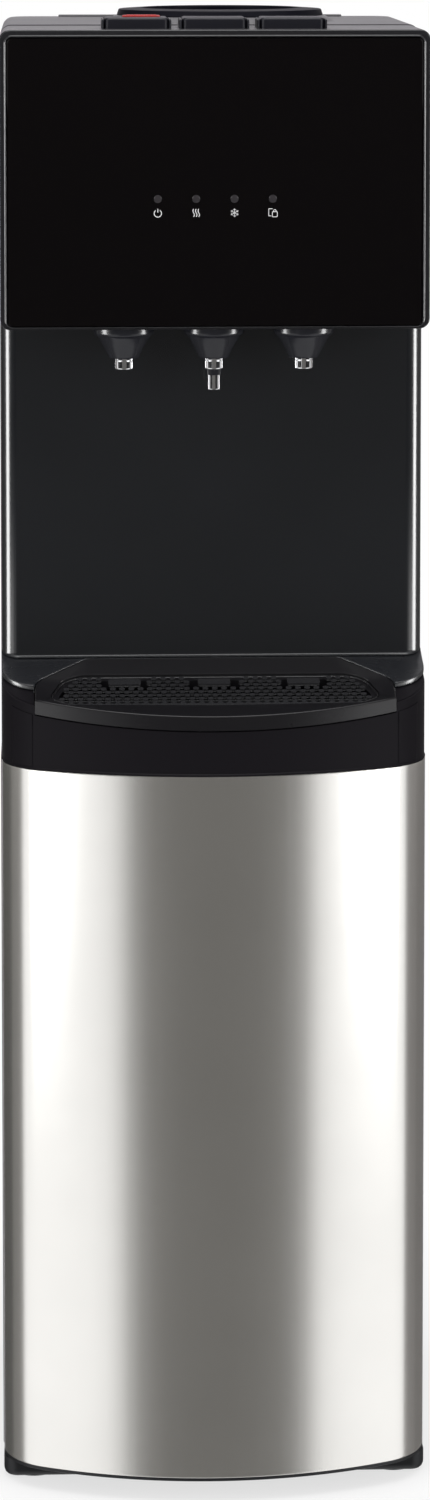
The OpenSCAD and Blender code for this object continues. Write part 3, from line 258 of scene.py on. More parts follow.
def fill_swept(bm, rings):
    """A skin along open rings, such as a profile swept round the front, with both its ends closed."""
    rows = fill_rings(bm, rings, closed_around=False, close_back=True)
    bm.faces.new([row[0] for row in rows])
    bm.faces.new([row[-1] for row in reversed(rows)])


def slab(outline, low, high):
    """Two rings for a piece between two heights. A height is a number or a function of the point."""
    return [[(x, y, z(x, y) if callable(z) else z) for x, y in outline] for z in (low, high)]


def stacked_rects(x0, y0, x1, y1, stages, r, steps):
    """Rings of a rounded rectangle, one for each (inset, height). r may be a function of the inset."""
    rings = []
    for inset, z in stages:
        radius = r(inset) if callable(r) else r
        outline = round_rect(x0 + inset, y0 + inset, x1 - inset, y1 - inset, radius, steps)
        rings.append([(x, y, z) for x, y in outline])
    return rings


def add_plate(bm, outer, holes, place, thick, rim=0.4, hole_rim=None):
    """A plate with rounded rims. place(u, v, w) gives the point at (u, v), w below the plate's top face."""
    hole_rim = rim if hole_rim is None else hole_rim
    loops = [(outer, rim)] + [(list(reversed(hole)), hole_rim) for hole in holes]
    top_rows, low_rows = [], []
    for points, r in loops:
        stages = [(r, 0), (0.3 * r, 0.3 * r), (0, r), (0, thick - r), (0.3 * r, thick - 0.3 * r), (r, thick)]
        if r <= 0:
            stages = [(0, 0), (0, thick)]
        rows = []
        for inset, down in stages:
            drawn = inset_loop(points, inset) if inset else points
            rows.append([bm.verts.new(Vector(place(u, v, down)) * MM) for u, v in drawn])
        n = len(points)
        for a, b in zip(rows[:-1], rows[1:]):
            for i in range(n):
                j = (i + 1) % n
                bm.faces.new((a[i], b[i], b[j], a[j]))
        top_rows.append(rows[0])
        low_rows.append(rows[-1])
    fill_between(bm, top_rows)
    fill_between(bm, low_rows)


def pipe_rings(path, r, sides=16):
    """Rings along a path of points, turned as little as possible from one to the next."""
    points = [Vector(p) for p in path]
    rings = []
    side = None
    for i, p in enumerate(points):
        run = (points[min(i + 1, len(points) - 1)] - points[max(i - 1, 0)]).normalized()
        if side is None:
            side = run.orthogonal().normalized()
        side = (side - run * side.dot(run)).normalized()
        up = run.cross(side)
        turns = [2 * math.pi * k / sides for k in range(sides)]
        rings.append([p + r * (math.cos(a) * side + math.sin(a) * up) for a in turns])
    return rings


def flat_xz(y):
    """An upright plate whose face looks to the front."""
    return lambda u, v, w: (u, y + w, v)


def back_xz(y):
    """An upright plate whose face looks to the back."""
    return lambda u, v, w: (-u, y - w, v)


# %% [markdown]
# ## Shader node groups
# Three node groups hold the effects that many finishes share: the fine grain of a moulding tool, a colour
# that drifts a little and gathers dust on what faces up, and the drawn lines of brushed metal. A group only
# puts out colours, values and normals. The shader itself stays in each material.

# %% Node helpers
def node(tree, kind, at=(0, 0), **settings):
    """A new node at a place of the node editor, with its settings."""
    made = tree.nodes.new(kind)
    made.location = at
    for key, value in settings.items():
        setattr(made, key, value)
    return made


def feed(tree, made, values):
    """Fills inputs of a node. Each value is a number or a colour, or an output to link."""
    for title, value in values.items():
        if isinstance(value, bpy.types.NodeSocket):
            tree.links.new(value, made.inputs[title])
        else:
            made.inputs[title].default_value = value
    return made


def sums(tree, operation, at, *values, **settings):
    """The output of a Math node. Each value is a number or an output to link."""
    made = node(tree, "ShaderNodeMath", at, operation=operation, **settings)
    return feed(tree, made, dict(enumerate(values))).outputs[0]


def noise(tree, at, vector, scale, detail):
    """The output of a Noise node."""
    made = node(tree, "ShaderNodeTexNoise", at)
    return feed(tree, made, {"Vector": vector, "Scale": scale, "Detail": detail}).outputs["Fac"]


FLOAT, COLOUR, VECTOR = "NodeSocketFloat", "NodeSocketColor", "NodeSocketVector"


def new_group(name, inputs, outputs):
    """A shader node group. inputs are (name, default), outputs are (name, socket kind)."""
    tree = bpy.data.node_groups.new(name, "ShaderNodeTree")
    for title, default in inputs:
        kind = COLOUR if isinstance(default, tuple) else FLOAT
        socket = tree.interface.new_socket(name=title, in_out="INPUT", socket_type=kind)
        socket.default_value = default
    for title, kind in outputs:
        tree.interface.new_socket(name=title, in_out="OUTPUT", socket_type=kind)
    return tree, node(tree, "NodeGroupInput", (-900, 0)), node(tree, "NodeGroupOutput", (600, 0))


def ramp(tree, value, low, high, at=(0, 0)):
    """A value mapped from low..high to 0..1."""
    made = node(tree, "ShaderNodeMapRange", at)
    return feed(tree, made, {"Value": value, "From Min": low, "From Max": high})


# %% The grain group
GRAIN_HEIGHT = 0.00012
MOTTLE_SCALE = 14


def make_grain_group():
    """The roughness and the normal of a moulded surface."""
    settings = [("Scale", 2600.0), ("Depth", 0.12), ("Roughness", 0.4), ("Spread", 0.08)]
    tree, gin, gout = new_group("MouldGrain", settings, [("Roughness", FLOAT), ("Normal", VECTOR)])
    where = node(tree, "ShaderNodeTexCoord", (-1100, -200)).outputs["Object"]
    fine = noise(tree, (-700, 100), where, gin.outputs["Scale"], 3)
    broad = noise(tree, (-700, -200), where, MOTTLE_SCALE, 4)
    centred = sums(tree, "SUBTRACT", (-450, -200), broad, 0.5)
    spread = sums(tree, "MULTIPLY", (-250, -200), centred, gin.outputs["Spread"])
    total = sums(tree, "ADD", (-50, -150), spread, gin.outputs["Roughness"], use_clamp=True)
    bump = node(tree, "ShaderNodeBump", (0, 100))
    feed(tree, bump, {"Distance": GRAIN_HEIGHT, "Height": fine, "Strength": gin.outputs["Depth"]})
    feed(tree, gout, {"Roughness": total, "Normal": bump.outputs["Normal"]})
    return tree


grain_group = make_grain_group()
print("group", grain_group.name)


# %% The tint group
SPECK_SCALE = 420
DUST_COLOUR = (0.55, 0.53, 0.5, 1.0)


def make_tint_group():
    """A colour that drifts a little over the surface, with pale dust on what faces up."""
    settings = [("Color", (0.1, 0.1, 0.1, 1.0)), ("Drift", 0.1), ("Scale", 9.0), ("Dust", 0.03)]
    tree, gin, gout = new_group("TintAndDust", settings, [("Color", COLOUR), ("Dust", FLOAT)])
    where = node(tree, "ShaderNodeTexCoord", (-1100, -200)).outputs["Object"]
    cloud = noise(tree, (-700, 0), where, gin.outputs["Scale"], 5)
    stretch = ramp(tree, cloud, 0.3, 0.7, (-500, 0)).outputs[0]
    base = sums(tree, "MULTIPLY_ADD", (-300, -200), gin.outputs["Drift"], -0.5, 1.0)
    shade = sums(tree, "MULTIPLY_ADD", (-300, 0), stretch, gin.outputs["Drift"], base)
    tinted = node(tree, "ShaderNodeVectorMath", (-100, 0), operation="SCALE")
    feed(tree, tinted, {0: gin.outputs["Color"], "Scale": shade})
    facing = node(tree, "ShaderNodeNewGeometry", (-700, -400)).outputs["Normal"]
    split = feed(tree, node(tree, "ShaderNodeSeparateXYZ", (-500, -400)), {0: facing})
    up = ramp(tree, split.outputs["Z"], 0.6, 1.0, (-300, -400)).outputs[0]
    speck = noise(tree, (-700, -650), where, SPECK_SCALE, 6)
    specks = ramp(tree, speck, 0.45, 0.7, (-500, -650)).outputs[0]
    amount = sums(tree, "MULTIPLY", (-100, -400), up, specks)
    dust = sums(tree, "MULTIPLY", (100, -400), amount, gin.outputs["Dust"])
    mix = node(tree, "ShaderNodeMix", (300, 0), data_type="RGBA")
    feed(tree, mix, {"Factor": dust, "A": tinted.outputs[0], "B": DUST_COLOUR})
    feed(tree, gout, {"Color": mix.outputs["Result"], "Dust": dust})
    return tree


tint_group = make_tint_group()
print("group", tint_group.name)


# %% The brushed metal group
LINE_HEIGHT = 0.00004


def make_brushed_group():
    """The roughness and the normal of drawn metal, whose lines run along Z."""
    settings = [("Along", 3.0), ("Across", 900.0), ("Depth", 0.15), ("Roughness", 0.3), ("Spread", 0.1)]
    results = [("Roughness", FLOAT), ("Normal", VECTOR), ("Lines", FLOAT)]
    tree, gin, gout = new_group("DrawnLines", settings, results)
    where = node(tree, "ShaderNodeTexCoord", (-1100, -200)).outputs["Object"]
    stretch = node(tree, "ShaderNodeCombineXYZ", (-900, 200))
    across, along = gin.outputs["Across"], gin.outputs["Along"]
    feed(tree, stretch, {"X": across, "Y": across, "Z": along})
    scaled = node(tree, "ShaderNodeVectorMath", (-700, 100), operation="MULTIPLY")
    feed(tree, scaled, {0: where, 1: stretch.outputs[0]})
    lines = noise(tree, (-500, 100), scaled.outputs[0], 1, 3)
    rough = sums(tree, "MULTIPLY_ADD", (-250, -100), lines, gin.outputs["Spread"], gin.outputs["Roughness"])
    bump = node(tree, "ShaderNodeBump", (0, 100))
    feed(tree, bump, {"Distance": LINE_HEIGHT, "Height": lines, "Strength": gin.outputs["Depth"]})
    feed(tree, gout, {"Roughness": rough, "Normal": bump.outputs["Normal"], "Lines": lines})
    return tree


brushed_group = make_brushed_group()
print("group", brushed_group.name)

# %% [markdown]
# ## Finishes
# Each finish is one small function call: a moulded plastic takes the tint group for its colour and the grain
# group for its roughness and normal, and a drawn metal takes the brushed group. What is the same all over the
# surface, such as the metallic value or the coat, is set on the shader's own socket.

# %% Material helpers
def place_group(tree, group, at, **values):
    return feed(tree, node(tree, "ShaderNodeGroup", at, node_tree=group), values)


def shader_of(material):
    return material.node_tree.nodes["Principled BSDF"]


def new_finish(name, colour, drift, dust, group, **surface_values):
    """A material with its colour from the tint group and its roughness and normal from another group."""
    material = bpy.data.materials.new(name)
    material.use_nodes = True
    material.diffuse_color = (*colour, 1.0)
    tree = material.node_tree
    tint = place_group(tree, tint_group, (-500, 200), Color=(*colour, 1.0), Drift=drift, Dust=dust)
    surface = place_group(tree, group, (-500, -100), **surface_values)
    feed(tree, shader_of(material), {"Base Color": tint.outputs["Color"],
                                     "Roughness": surface.outputs["Roughness"],
                                     "Normal": surface.outputs["Normal"]})
    return material


def plastic(name, colour, rough, grain=0.12, grain_scale=2600.0, drift=0.1, dust=0.02, spread=0.08, coat=0.0,
            specular=0.5):
    """Moulded plastic, rubber or paint."""
    material = new_finish(name, colour, drift, dust, grain_group, Scale=grain_scale, Depth=grain,
                          Roughness=rough, Spread=spread)
    feed(material.node_tree, shader_of(material),
         {"Coat Weight": coat, "Coat Roughness": 0.05, "Specular IOR Level": specular})
    return material


def metal(name, colour, rough, along=3.0, across=900.0, depth=0.15, spread=0.1, drift=0.06):
    """Drawn, plated or polished metal."""
    material = new_finish(name, colour, drift, 0.0, brushed_group, Along=along, Across=across, Depth=depth,
                          Roughness=rough, Spread=spread)
    shader_of(material).inputs["Metallic"].default_value = 1.0
    return material


# %% The finishes of the outside
steel_front = metal("steel_front", (0.9, 0.885, 0.855), 0.2, along=2.0, across=700.0, depth=0.05, spread=0.06)
side_paint = plastic("side_paint", (0.05, 0.05, 0.055), 0.42, grain=0.2, grain_scale=900.0, dust=0.0)
back_paint = plastic("back_paint", (0.045, 0.045, 0.05), 0.5, grain=0.25, grain_scale=900.0, dust=0.0)
base_black = plastic("base_black", (0.014, 0.0145, 0.0165), 0.4, grain=0.15, dust=0.0, specular=0.3)
foot_rubber = plastic("foot_rubber", (0.02, 0.02, 0.02), 0.7, grain=0.3, grain_scale=1400.0)
housing_satin = plastic("housing_satin", (0.0085, 0.0075, 0.0095), 0.46, grain=0.03, spread=0.04, dust=0.0,
                        specular=0.07)
tray_satin = plastic("tray_satin", (0.0085, 0.008, 0.0095), 0.28, grain=0.03, spread=0.04, dust=0.0,
                     specular=0.3)
shelf_satin = plastic("shelf_satin", (0.014, 0.015, 0.018), 0.27, grain=0.05, dust=0.01)
grid_satin = plastic("grid_satin", (0.022, 0.022, 0.024), 0.26, grain=0.05, dust=0.0)
niche_satin = plastic("niche_satin", (0.0105, 0.0115, 0.0135), 0.2, grain=0.03, dust=0.0, drift=0.2)
head_satin = plastic("head_satin", (0.115, 0.111, 0.119), 0.36, grain=0.12, dust=0.02)
bezel_satin = plastic("bezel_satin", (0.012, 0.012, 0.014), 0.16, grain=0.02, dust=0.0)
face_gloss = plastic("face_gloss", (0.0022, 0.0016, 0.0019), 0.05, grain=0.0, spread=0.02, dust=0.0,
                     specular=0.18)
button_satin = plastic("button_satin", (0.01, 0.01, 0.015), 0.36, grain=0.08, dust=0.0, specular=0.3)
lock_red = plastic("lock_red", (0.42, 0.02, 0.018), 0.25, grain=0.05)
seat_satin = plastic("seat_satin", (0.004, 0.004, 0.008), 0.42, grain=0.05, dust=0.0, specular=0.09)
cone_satin = plastic("cone_satin", (0.015, 0.0155, 0.02), 0.22, grain=0.05, dust=0.0, specular=0.35)
tip_chrome = metal("tip_chrome", (0.78, 0.78, 0.8), 0.05, along=200.0, across=400.0, depth=0.02, spread=0.03)
print_white = plastic("print_white", (0.8, 0.8, 0.8), 0.5, grain=0.1, dust=0.0)
lens_smoke = plastic("lens_smoke", (0.03, 0.027, 0.03), 0.12, grain=0.0, dust=0.0, coat=0.3)
zinc = metal("zinc", (0.52, 0.52, 0.53), 0.32, along=30.0, across=300.0, depth=0.1)
enamel = plastic("enamel", (0.014, 0.014, 0.015), 0.28, grain=0.1, grain_scale=500.0)

# %% The finishes of the inside
rod_white = plastic("rod_white", (0.7, 0.7, 0.68), 0.4, dust=0.0)
spring_steel = metal("spring_steel", (0.5, 0.5, 0.5), 0.25, along=100.0)
tank_steel = metal("tank_steel", (0.6, 0.6, 0.6), 0.25, along=120.0, across=120.0)
foam_white = plastic("foam_white", (0.8, 0.8, 0.77), 0.85, grain=0.6, grain_scale=300.0)
copper = metal("copper", (0.7, 0.36, 0.24), 0.28, along=40.0, across=300.0, drift=0.25)
mica = metal("mica", (0.42, 0.38, 0.33), 0.45, along=200.0)
ceramic = plastic("ceramic", (0.7, 0.62, 0.5), 0.6)
silicone = plastic("silicone", (0.72, 0.72, 0.69), 0.35)
drain_grey = plastic("drain_grey", (0.1, 0.1, 0.105), 0.45)
compressor_black = plastic("compressor_black", (0.016, 0.016, 0.016), 0.2, coat=0.4)
box_white = plastic("box_white", (0.68, 0.68, 0.66), 0.45)
board_green = plastic("board_green", (0.02, 0.13, 0.05), 0.3)
rocker_red = plastic("rocker_red", (0.38, 0.02, 0.016), 0.16, grain=0.02, dust=0.01)
rocker_green = plastic("rocker_green", (0.02, 0.2, 0.05), 0.16, grain=0.02, dust=0.01)

MATERIALS = {
    "black_moulding": base_black, "rubber": foot_rubber, "brushed_front": steel_front,
    "side_paint": side_paint, "back_paint": back_paint, "zinc_steel": zinc, "tray_black": housing_satin,
    "shelf_black": shelf_satin, "niche_grey": niche_satin, "head_grey": head_satin,
    "bezel_grey": bezel_satin, "fascia_gloss": face_gloss, "lamp_lens": lens_smoke,
    "circuit_board": board_green, "button_black": button_satin, "lock_red": lock_red,
    "rod_white": rod_white, "spring_steel": spring_steel, "cone_black": cone_satin, "tip_chrome": tip_chrome,
    "tank_steel": tank_steel, "foam_white": foam_white, "copper": copper, "mica_band": mica,
    "ceramic": ceramic, "silicone": silicone, "drain_grey": drain_grey, "compressor_black": compressor_black,
    "condenser_black": enamel, "box_white": box_white, "rocker_red": rocker_red, "rocker_green": rocker_green,
}
print("finishes", len(MATERIALS))

# %% [markdown]
# ## Nodes that stay
# The insides, and the wire grille on the back, already have their final shape in the model. They keep their
# meshes and take the finish of their material slot.

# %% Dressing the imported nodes
slot_of = {entry["node"]: entry["material_slot"] for entry in frame["record"]["subparts"]}
for name, cad_object in frame["nodes"].items():
    cad_object.data.materials.clear()
    cad_object.data.materials.append(MATERIALS[slot_of[name]])
print("dressed", len(slot_of))

# %% [markdown]
# ## Camera, lamps and floor
# The camera stands three metres away, just above the top of the dispenser, and looks down slightly. Its frame
# is shifted down as well, as with a view camera, so upright edges stay nearly parallel. Two tall soft boxes
# stand at the front corners of the room, one hangs overhead, and a strip at each side is kept for the last
# cells. The steel and the chrome mirror the white world between plain grey cards, which is what draws their
# dark middle and edges.

# %% Camera
camera_data = bpy.data.cameras.new("camera")
camera = bpy.data.objects.new("camera", camera_data)
bpy.context.scene.collection.objects.link(camera)
bpy.context.scene.camera = camera
CAMERA_PITCH = math.radians(4.32)
CAMERA_YAW = math.radians(2.38)
camera_data.lens = 98.1
camera_data.shift_y = -0.365
camera.location = (-0.1193, -3.0, 1.14)
camera.rotation_euler = (math.pi / 2 - CAMERA_PITCH, 0, -CAMERA_YAW)
print("camera", tuple(round(v, 3) for v in camera.location))

# %% World and lamps
world = bpy.data.worlds.new("studio")
bpy.context.scene.world = world
world.use_nodes = True
world_tree = world.node_tree
world_tree.nodes.clear()
seen = feed(world_tree, node(world_tree, "ShaderNodeBackground", (0, 100)),
            {"Color": (1.0, 1.0, 1.0, 1.0), "Strength": 1.0})
fill = feed(world_tree, node(world_tree, "ShaderNodeBackground", (0, -100)),
            {"Color": (1.0, 0.99, 1.0, 1.0), "Strength": 0.55})
rays = node(world_tree, "ShaderNodeLightPath", (-700, 200)).outputs
either = sums(world_tree, "MAXIMUM", (-400, 200), rays["Is Camera Ray"], rays["Is Glossy Ray"])
any_clear = sums(world_tree, "MAXIMUM", (-200, 200), either, rays["Is Transmission Ray"])
blend = node(world_tree, "ShaderNodeMixShader", (250, 0))
feed(world_tree, blend, {"Fac": any_clear, 1: fill.outputs[0], 2: seen.outputs[0]})
feed(world_tree, node(world_tree, "ShaderNodeOutputWorld", (450, 0)), {"Surface": blend.outputs[0]})


def soft_box(name, place, aim, width, height, power):
    data = bpy.data.lights.new(name, "AREA")
    data.shape = "RECTANGLE"
    data.size, data.size_y = width, height
    data.energy = power
    lamp = bpy.data.objects.new(name, data)
    bpy.context.scene.collection.objects.link(lamp)
    lamp.location = place
    direction = Vector(aim) - Vector(place)
    lamp.rotation_euler = direction.to_track_quat("-Z", "Y").to_euler()
    return lamp


soft_box("soft_box_left", (-2.1, -1.7, 0.9), (0, 0, 0.7), 1.0, 2.2, 16)
soft_box("soft_box_right", (2.1, -1.7, 0.9), (0, 0, 0.7), 1.0, 2.2, 16)
soft_box("soft_box_top", (0, -0.6, 2.6), (0, 0, 0.9), 1.6, 1.2, 24)
strips = [soft_box("strip_left", (-1.5, -0.42, 0.72), (0, -0.3, 0.72), 0.62, 1.0, 40),
          soft_box("strip_right", (1.5, -0.42, 0.72), (0, -0.3, 0.72), 0.62, 1.0, 40)]
for strip in strips:
    strip.visible_diffuse = False


# %% Floor and cards
def stage_card(name, corners, colour, only_mirrored):
    mesh = bpy.data.meshes.new(name)
    mesh.from_pydata([tuple(c) for c in corners], [], [(0, 1, 2, 3)])
    card = bpy.data.objects.new(name, mesh)
    bpy.context.scene.collection.objects.link(card)
    material = bpy.data.materials.new(name)
    material.use_nodes = True
    feed(material.node_tree, shader_of(material),
         {"Base Color": (*colour, 1.0), "Roughness": 0.9, "Specular IOR Level": 0.1})
    mesh.materials.append(material)
    if only_mirrored:
        card.visible_camera = False
        card.visible_diffuse = False
        card.visible_shadow = False
    return card


FLOOR_HALF = 30
floor_corners = [(x * FLOOR_HALF, y * FLOOR_HALF, 0) for x, y in ((-1, -1), (1, -1), (1, 1), (-1, 1))]
floor = stage_card("floor", floor_corners, (0.93, 0.93, 0.93), False)
floor.visible_glossy = False
floor_tree = floor.data.materials[0].node_tree
paper = feed(floor_tree, node(floor_tree, "ShaderNodeEmission", (-200, -300)),
             {"Color": (1.0, 1.0, 1.0, 1.0), "Strength": 1.0})
floor_rays = node(floor_tree, "ShaderNodeLightPath", (-900, 300))
floor_spot = node(floor_tree, "ShaderNodeNewGeometry", (-1100, -100))
away = node(floor_tree, "ShaderNodeVectorMath", (-900, -100), operation="LENGTH")
feed(floor_tree, away, {0: floor_spot.outputs["Position"]})
fade = ramp(floor_tree, away.outputs["Value"], 0.2, 0.55, (-700, -100))
feed(floor_tree, fade, {"To Min": 0.7, "To Max": 1.0})
seen_share = sums(floor_tree, "MULTIPLY", (-450, 100), floor_rays.outputs["Is Camera Ray"], fade.outputs[0])
floor_mix = node(floor_tree, "ShaderNodeMixShader", (200, 200))
floor_shader = shader_of(floor.data.materials[0])
feed(floor_tree, floor_mix, {"Fac": seen_share, 1: floor_shader.outputs[0], 2: paper.outputs[0]})
feed(floor_tree, floor_tree.nodes["Material Output"], {"Surface": floor_mix.outputs[0]})


def upright_card(name, x0, y0, x1, y1, colour):
    """A tall card between two points of the floor."""
    low, high = -4, 5
    return stage_card(name, [(x0, y0, low), (x1, y1, low), (x1, y1, high), (x0, y0, high)], colour, True)


upright_card("card_front", -1.85, -4.2, 2.32, -4.2, (0.25, 0.245, 0.23))
upright_card("card_back", -4.0, 5.0, 4.0, 5.0, (0.86, 0.83, 0.87))
TIP_CARD_LOW, TIP_CARD_HIGH = 0.52, 0.95
for side, name in ((-1, "tip_card_left"), (1, "tip_card_right")):
    tip_card = upright_card(name, side * 0.42, -1.0, side * 0.95, -0.42, (0.02, 0.02, 0.02))
    for corner in tip_card.data.vertices:
        corner.co.z = TIP_CARD_LOW if corner.co.z < 0 else TIP_CARD_HIGH
upright_card("card_left_near", -2.62, -0.37, -2.4, 0.95, (0.34, 0.335, 0.32))
upright_card("card_left_far", -2.4, 0.95, -1.2, 3.0, (0.16, 0.16, 0.15))
upright_card("card_right_near", 2.62, -0.45, 2.4, 0.95, (0.36, 0.35, 0.34))
upright_card("card_right_far", 2.4, 0.95, 1.2, 3.0, (0.3, 0.29, 0.28))
bpy.context.scene.view_settings.view_transform = "Standard"

# %% [markdown]
# ## The steel front
# One sheet of stainless steel is rolled into the curved front and wrapped round both corners. A mirror-like
# metal shows every facet, so the outline has many points, and the free edges are rolled over a little: a
# small radius there catches the light where a knife edge would show nothing.

# %% Steel front panel
def sweep_front(bm, profile, back_y, corner_steps=14, arc_steps=40):
    """Sweeps a closed profile of (inset, height) points round the curved front."""
    rings = []
    for inset, z in profile:
        plan = front_plan(inset, back_y, corner_steps, arc_steps)
        rings.append([(x, y, z(x, y) if callable(z) else z) for x, y in plan])
    fill_swept(bm, rings)


STEEL_T = 1.0
z0, z1 = steel_box.z0, steel_box.z1
steel_profile = [(0.5, z0), (0.15, z0 + 0.15), (0, z0 + 0.5), (0, z0 + 1.5), (0, z1 - 1.5), (0, z1 - 0.5),
                 (0.15, z1 - 0.15), (0.5, z1), (STEEL_T, z1 - 0.2), (STEEL_T, z0 + 0.2)]
bm = bmesh.new()
sweep_front(bm, steel_profile, steel_box.y1, 20, 60)
steel_piece = finish_piece("steel_front_skin", bm, steel_front, "cabinet", "brushed_front",
                           replaces=["steel_front_panel"])
print("steel front faces", len(steel_piece.data.polygons))

# %% [markdown]
# Two more helpers. `cut_out` takes meshes out of another, for the openings that run through a rounded skin,
# and the shelf plane is the sloping surface that the tray, the grid and the wings all share.

# %% Cutting and the shelf plane
def mesh_object(name, bm):
    mesh = bpy.data.meshes.new(name)
    bmesh.ops.recalc_face_normals(bm, faces=bm.faces)
    bm.to_mesh(mesh)
    bm.free()
    made = bpy.data.objects.new(name, mesh)
    bpy.context.scene.collection.objects.link(made)
    return made


def block(x0, y0, z0, x1, y1, z1, r):
    """An upright block with rounded vertical edges, for cutting."""
    bm = bmesh.new()
    fill_rings(bm, slab(round_rect(x0, y0, x1, y1, r, 4), z0, z1))
    return bm


def cut_out(bm, cutters):
    """Takes the cutters out of bm with a boolean, and gives back a new bmesh."""
    target = mesh_object("cut_target", bm)
    for cutter in cutters:
        tool = mesh_object("cut_tool", cutter)
        step = target.modifiers.new("cut", "BOOLEAN")
        step.operation = "DIFFERENCE"
        step.solver = "EXACT"
        step.object = tool
        bpy.context.view_layer.update()
        shown = target.evaluated_get(bpy.context.evaluated_depsgraph_get())
        result = bpy.data.meshes.new_from_object(shown)
        target.modifiers.clear()
        target.data = result
        bpy.data.objects.remove(tool)
    out = bmesh.new()
    out.from_mesh(target.data)
    bpy.data.objects.remove(target)
    return out


SHELF_FRONT_Z = 565.3
SHELF_RISE = 0.26


def shelf_z(y):
    return SHELF_FRONT_Z + SHELF_RISE * (y - front_y)


def on_shelf(lower):
    """The shelf plane, lowered, as a place function."""
    return lambda u, v, w: (u, v, shelf_z(v) - lower - w)


print("shelf rises", SHELF_RISE, "mm for each mm of depth")

# %% [markdown]
# ## The head
# The bezel is a frame round the glossy face. Its section is what the eye reads: a rounded outer edge, a dark
# flat, a thin raised bead that catches the light, and a step down to the face. A stack of rounded rectangles
# gives each of these lines its own ring, narrower at the bottom, where the frame is thin.

# %% Bezel
BEZEL_SIDE = 5.4
BEZEL_BOTTOM = 2.2


def head_loop(inset, y, r, low=None):
    low = inset * BEZEL_BOTTOM / BEZEL_SIDE if low is None else low
    outline = round_rect(inset - half_w, head_z0 + low, half_w - inset, head_z1 - inset, r, 8)
    return [(x, y, z) for x, z in outline]


face_y = bezel_box.y0
bezel_section = [(0, 8, 8), (0, 2.7, 8), (0.12, 2.0, 7.9), (0.45, 1.5, 7.6), (1.0, 1.2, 7.1),
                 (3.5, 1.15, 5.9), (3.7, 0.75, 5.8), (3.95, 0.3, 5.6), (4.3, 0.05, 5.3), (4.55, 0, 5.1),
                 (4.8, 0.1, 4.8), (5.0, 0.4, 4.6), (5.2, 0.9, 4.3), (5.4, 1.5, 4), (5.4, 8, 4)]
bm = bmesh.new()
fill_rings(bm, [head_loop(inset, face_y + back, r) for inset, back, r in bezel_section], close_back=True)
finish_piece("bezel_frame", bm, bezel_satin, "cabinet", "bezel_grey", replaces=["head_bezel"])

# %% [markdown]
# The face is one glossy plate with four round holes for the indicator lamps. Its rim is rounded by just under
# a millimetre, which draws the thin line of light round it.

# %% Face plate and lamps
fascia_box = Box("fascia_panel")
LAMP_R = 3.0
LAMP_PITCH = 27
lamp_z = Box("indicator_lenses").cz
lamp_x = [(i - 1.5) * LAMP_PITCH for i in range(4)]
face_front = fascia_box.y0
face_outline = round_rect(fascia_box.x0, fascia_box.z0, fascia_box.x1, fascia_box.z1, 3.7, 8)
bm = bmesh.new()
add_plate(bm, face_outline, [circle(x, lamp_z, LAMP_R + 0.05, 32) for x in lamp_x], flat_xz(face_front), 3.0,
          rim=0.9, hole_rim=0.12)
POST_X = 2 * LAMP_PITCH + 6
for post_x in (-POST_X, POST_X):
    fill_rings(bm, lathe_rings([(3, 2.9), (3, 8)], (post_x, face_front, lamp_z), 24, "Y"))
finish_piece("face_plate", bm, face_gloss, "cabinet", "fascia_gloss", replaces=["fascia_panel"])

dome = [(0.05, 0.02), (1.2, 0.05), (2.2, 0.16), (2.75, 0.3), (2.95, 0.5), (LAMP_R, 0.8), (LAMP_R, 5.0),
        (0.05, 5.0)]
bm = bmesh.new()
for x in lamp_x:
    fill_rings(bm, lathe_rings(dome, (x, face_front, lamp_z), 32, "Y"))
finish_piece("lamp_windows", bm, lens_smoke, "cabinet", "lamp_lens", replaces=["indicator_lenses"])

# %% [markdown]
# Under each lamp a small sign is printed in white: power, heat, cold, and two overlapping squares. A print is
# a film of ink, so each sign is a ribbon along a path, laid a few hundredths of a millimetre on the plate.

# %% Printed signs
def add_ribbon(bm, path, width, y, thick=0.04, closed=False):
    """A flat ribbon along a path in X and Z, facing the front."""
    n = len(path)
    sides = []
    for i, p in enumerate(path):
        before = path[i - 1] if (i or closed) else p
        after = path[(i + 1) % n] if (i < n - 1 or closed) else p
        run_in = Vector((p[0] - before[0], p[1] - before[1]))
        run_out = Vector((after[0] - p[0], after[1] - p[1]))
        run_in = run_in.normalized() if run_in.length > 1e-6 else run_out.normalized()
        run_out = run_out.normalized() if run_out.length > 1e-6 else run_in
        side = Vector((-run_in.y, run_in.x)) + Vector((-run_out.y, run_out.x))
        side = side / max(side.length_squared / 2, 0.5) * width / 2
        left, right = (p[0] + side.x, p[1] + side.y), (p[0] - side.x, p[1] - side.y)
        sides.append([(left[0], y - thick, left[1]), (right[0], y - thick, right[1]),
                      (right[0], y + 0.02, right[1]), (left[0], y + 0.02, left[1])])
    fill_rings(bm, sides, closed_around=True, close_ends=not closed, close_back=closed)


def moved(path, x, z):
    return [(x + SIGN_SIZE * a, z + SIGN_SIZE * b) for a, b in path]


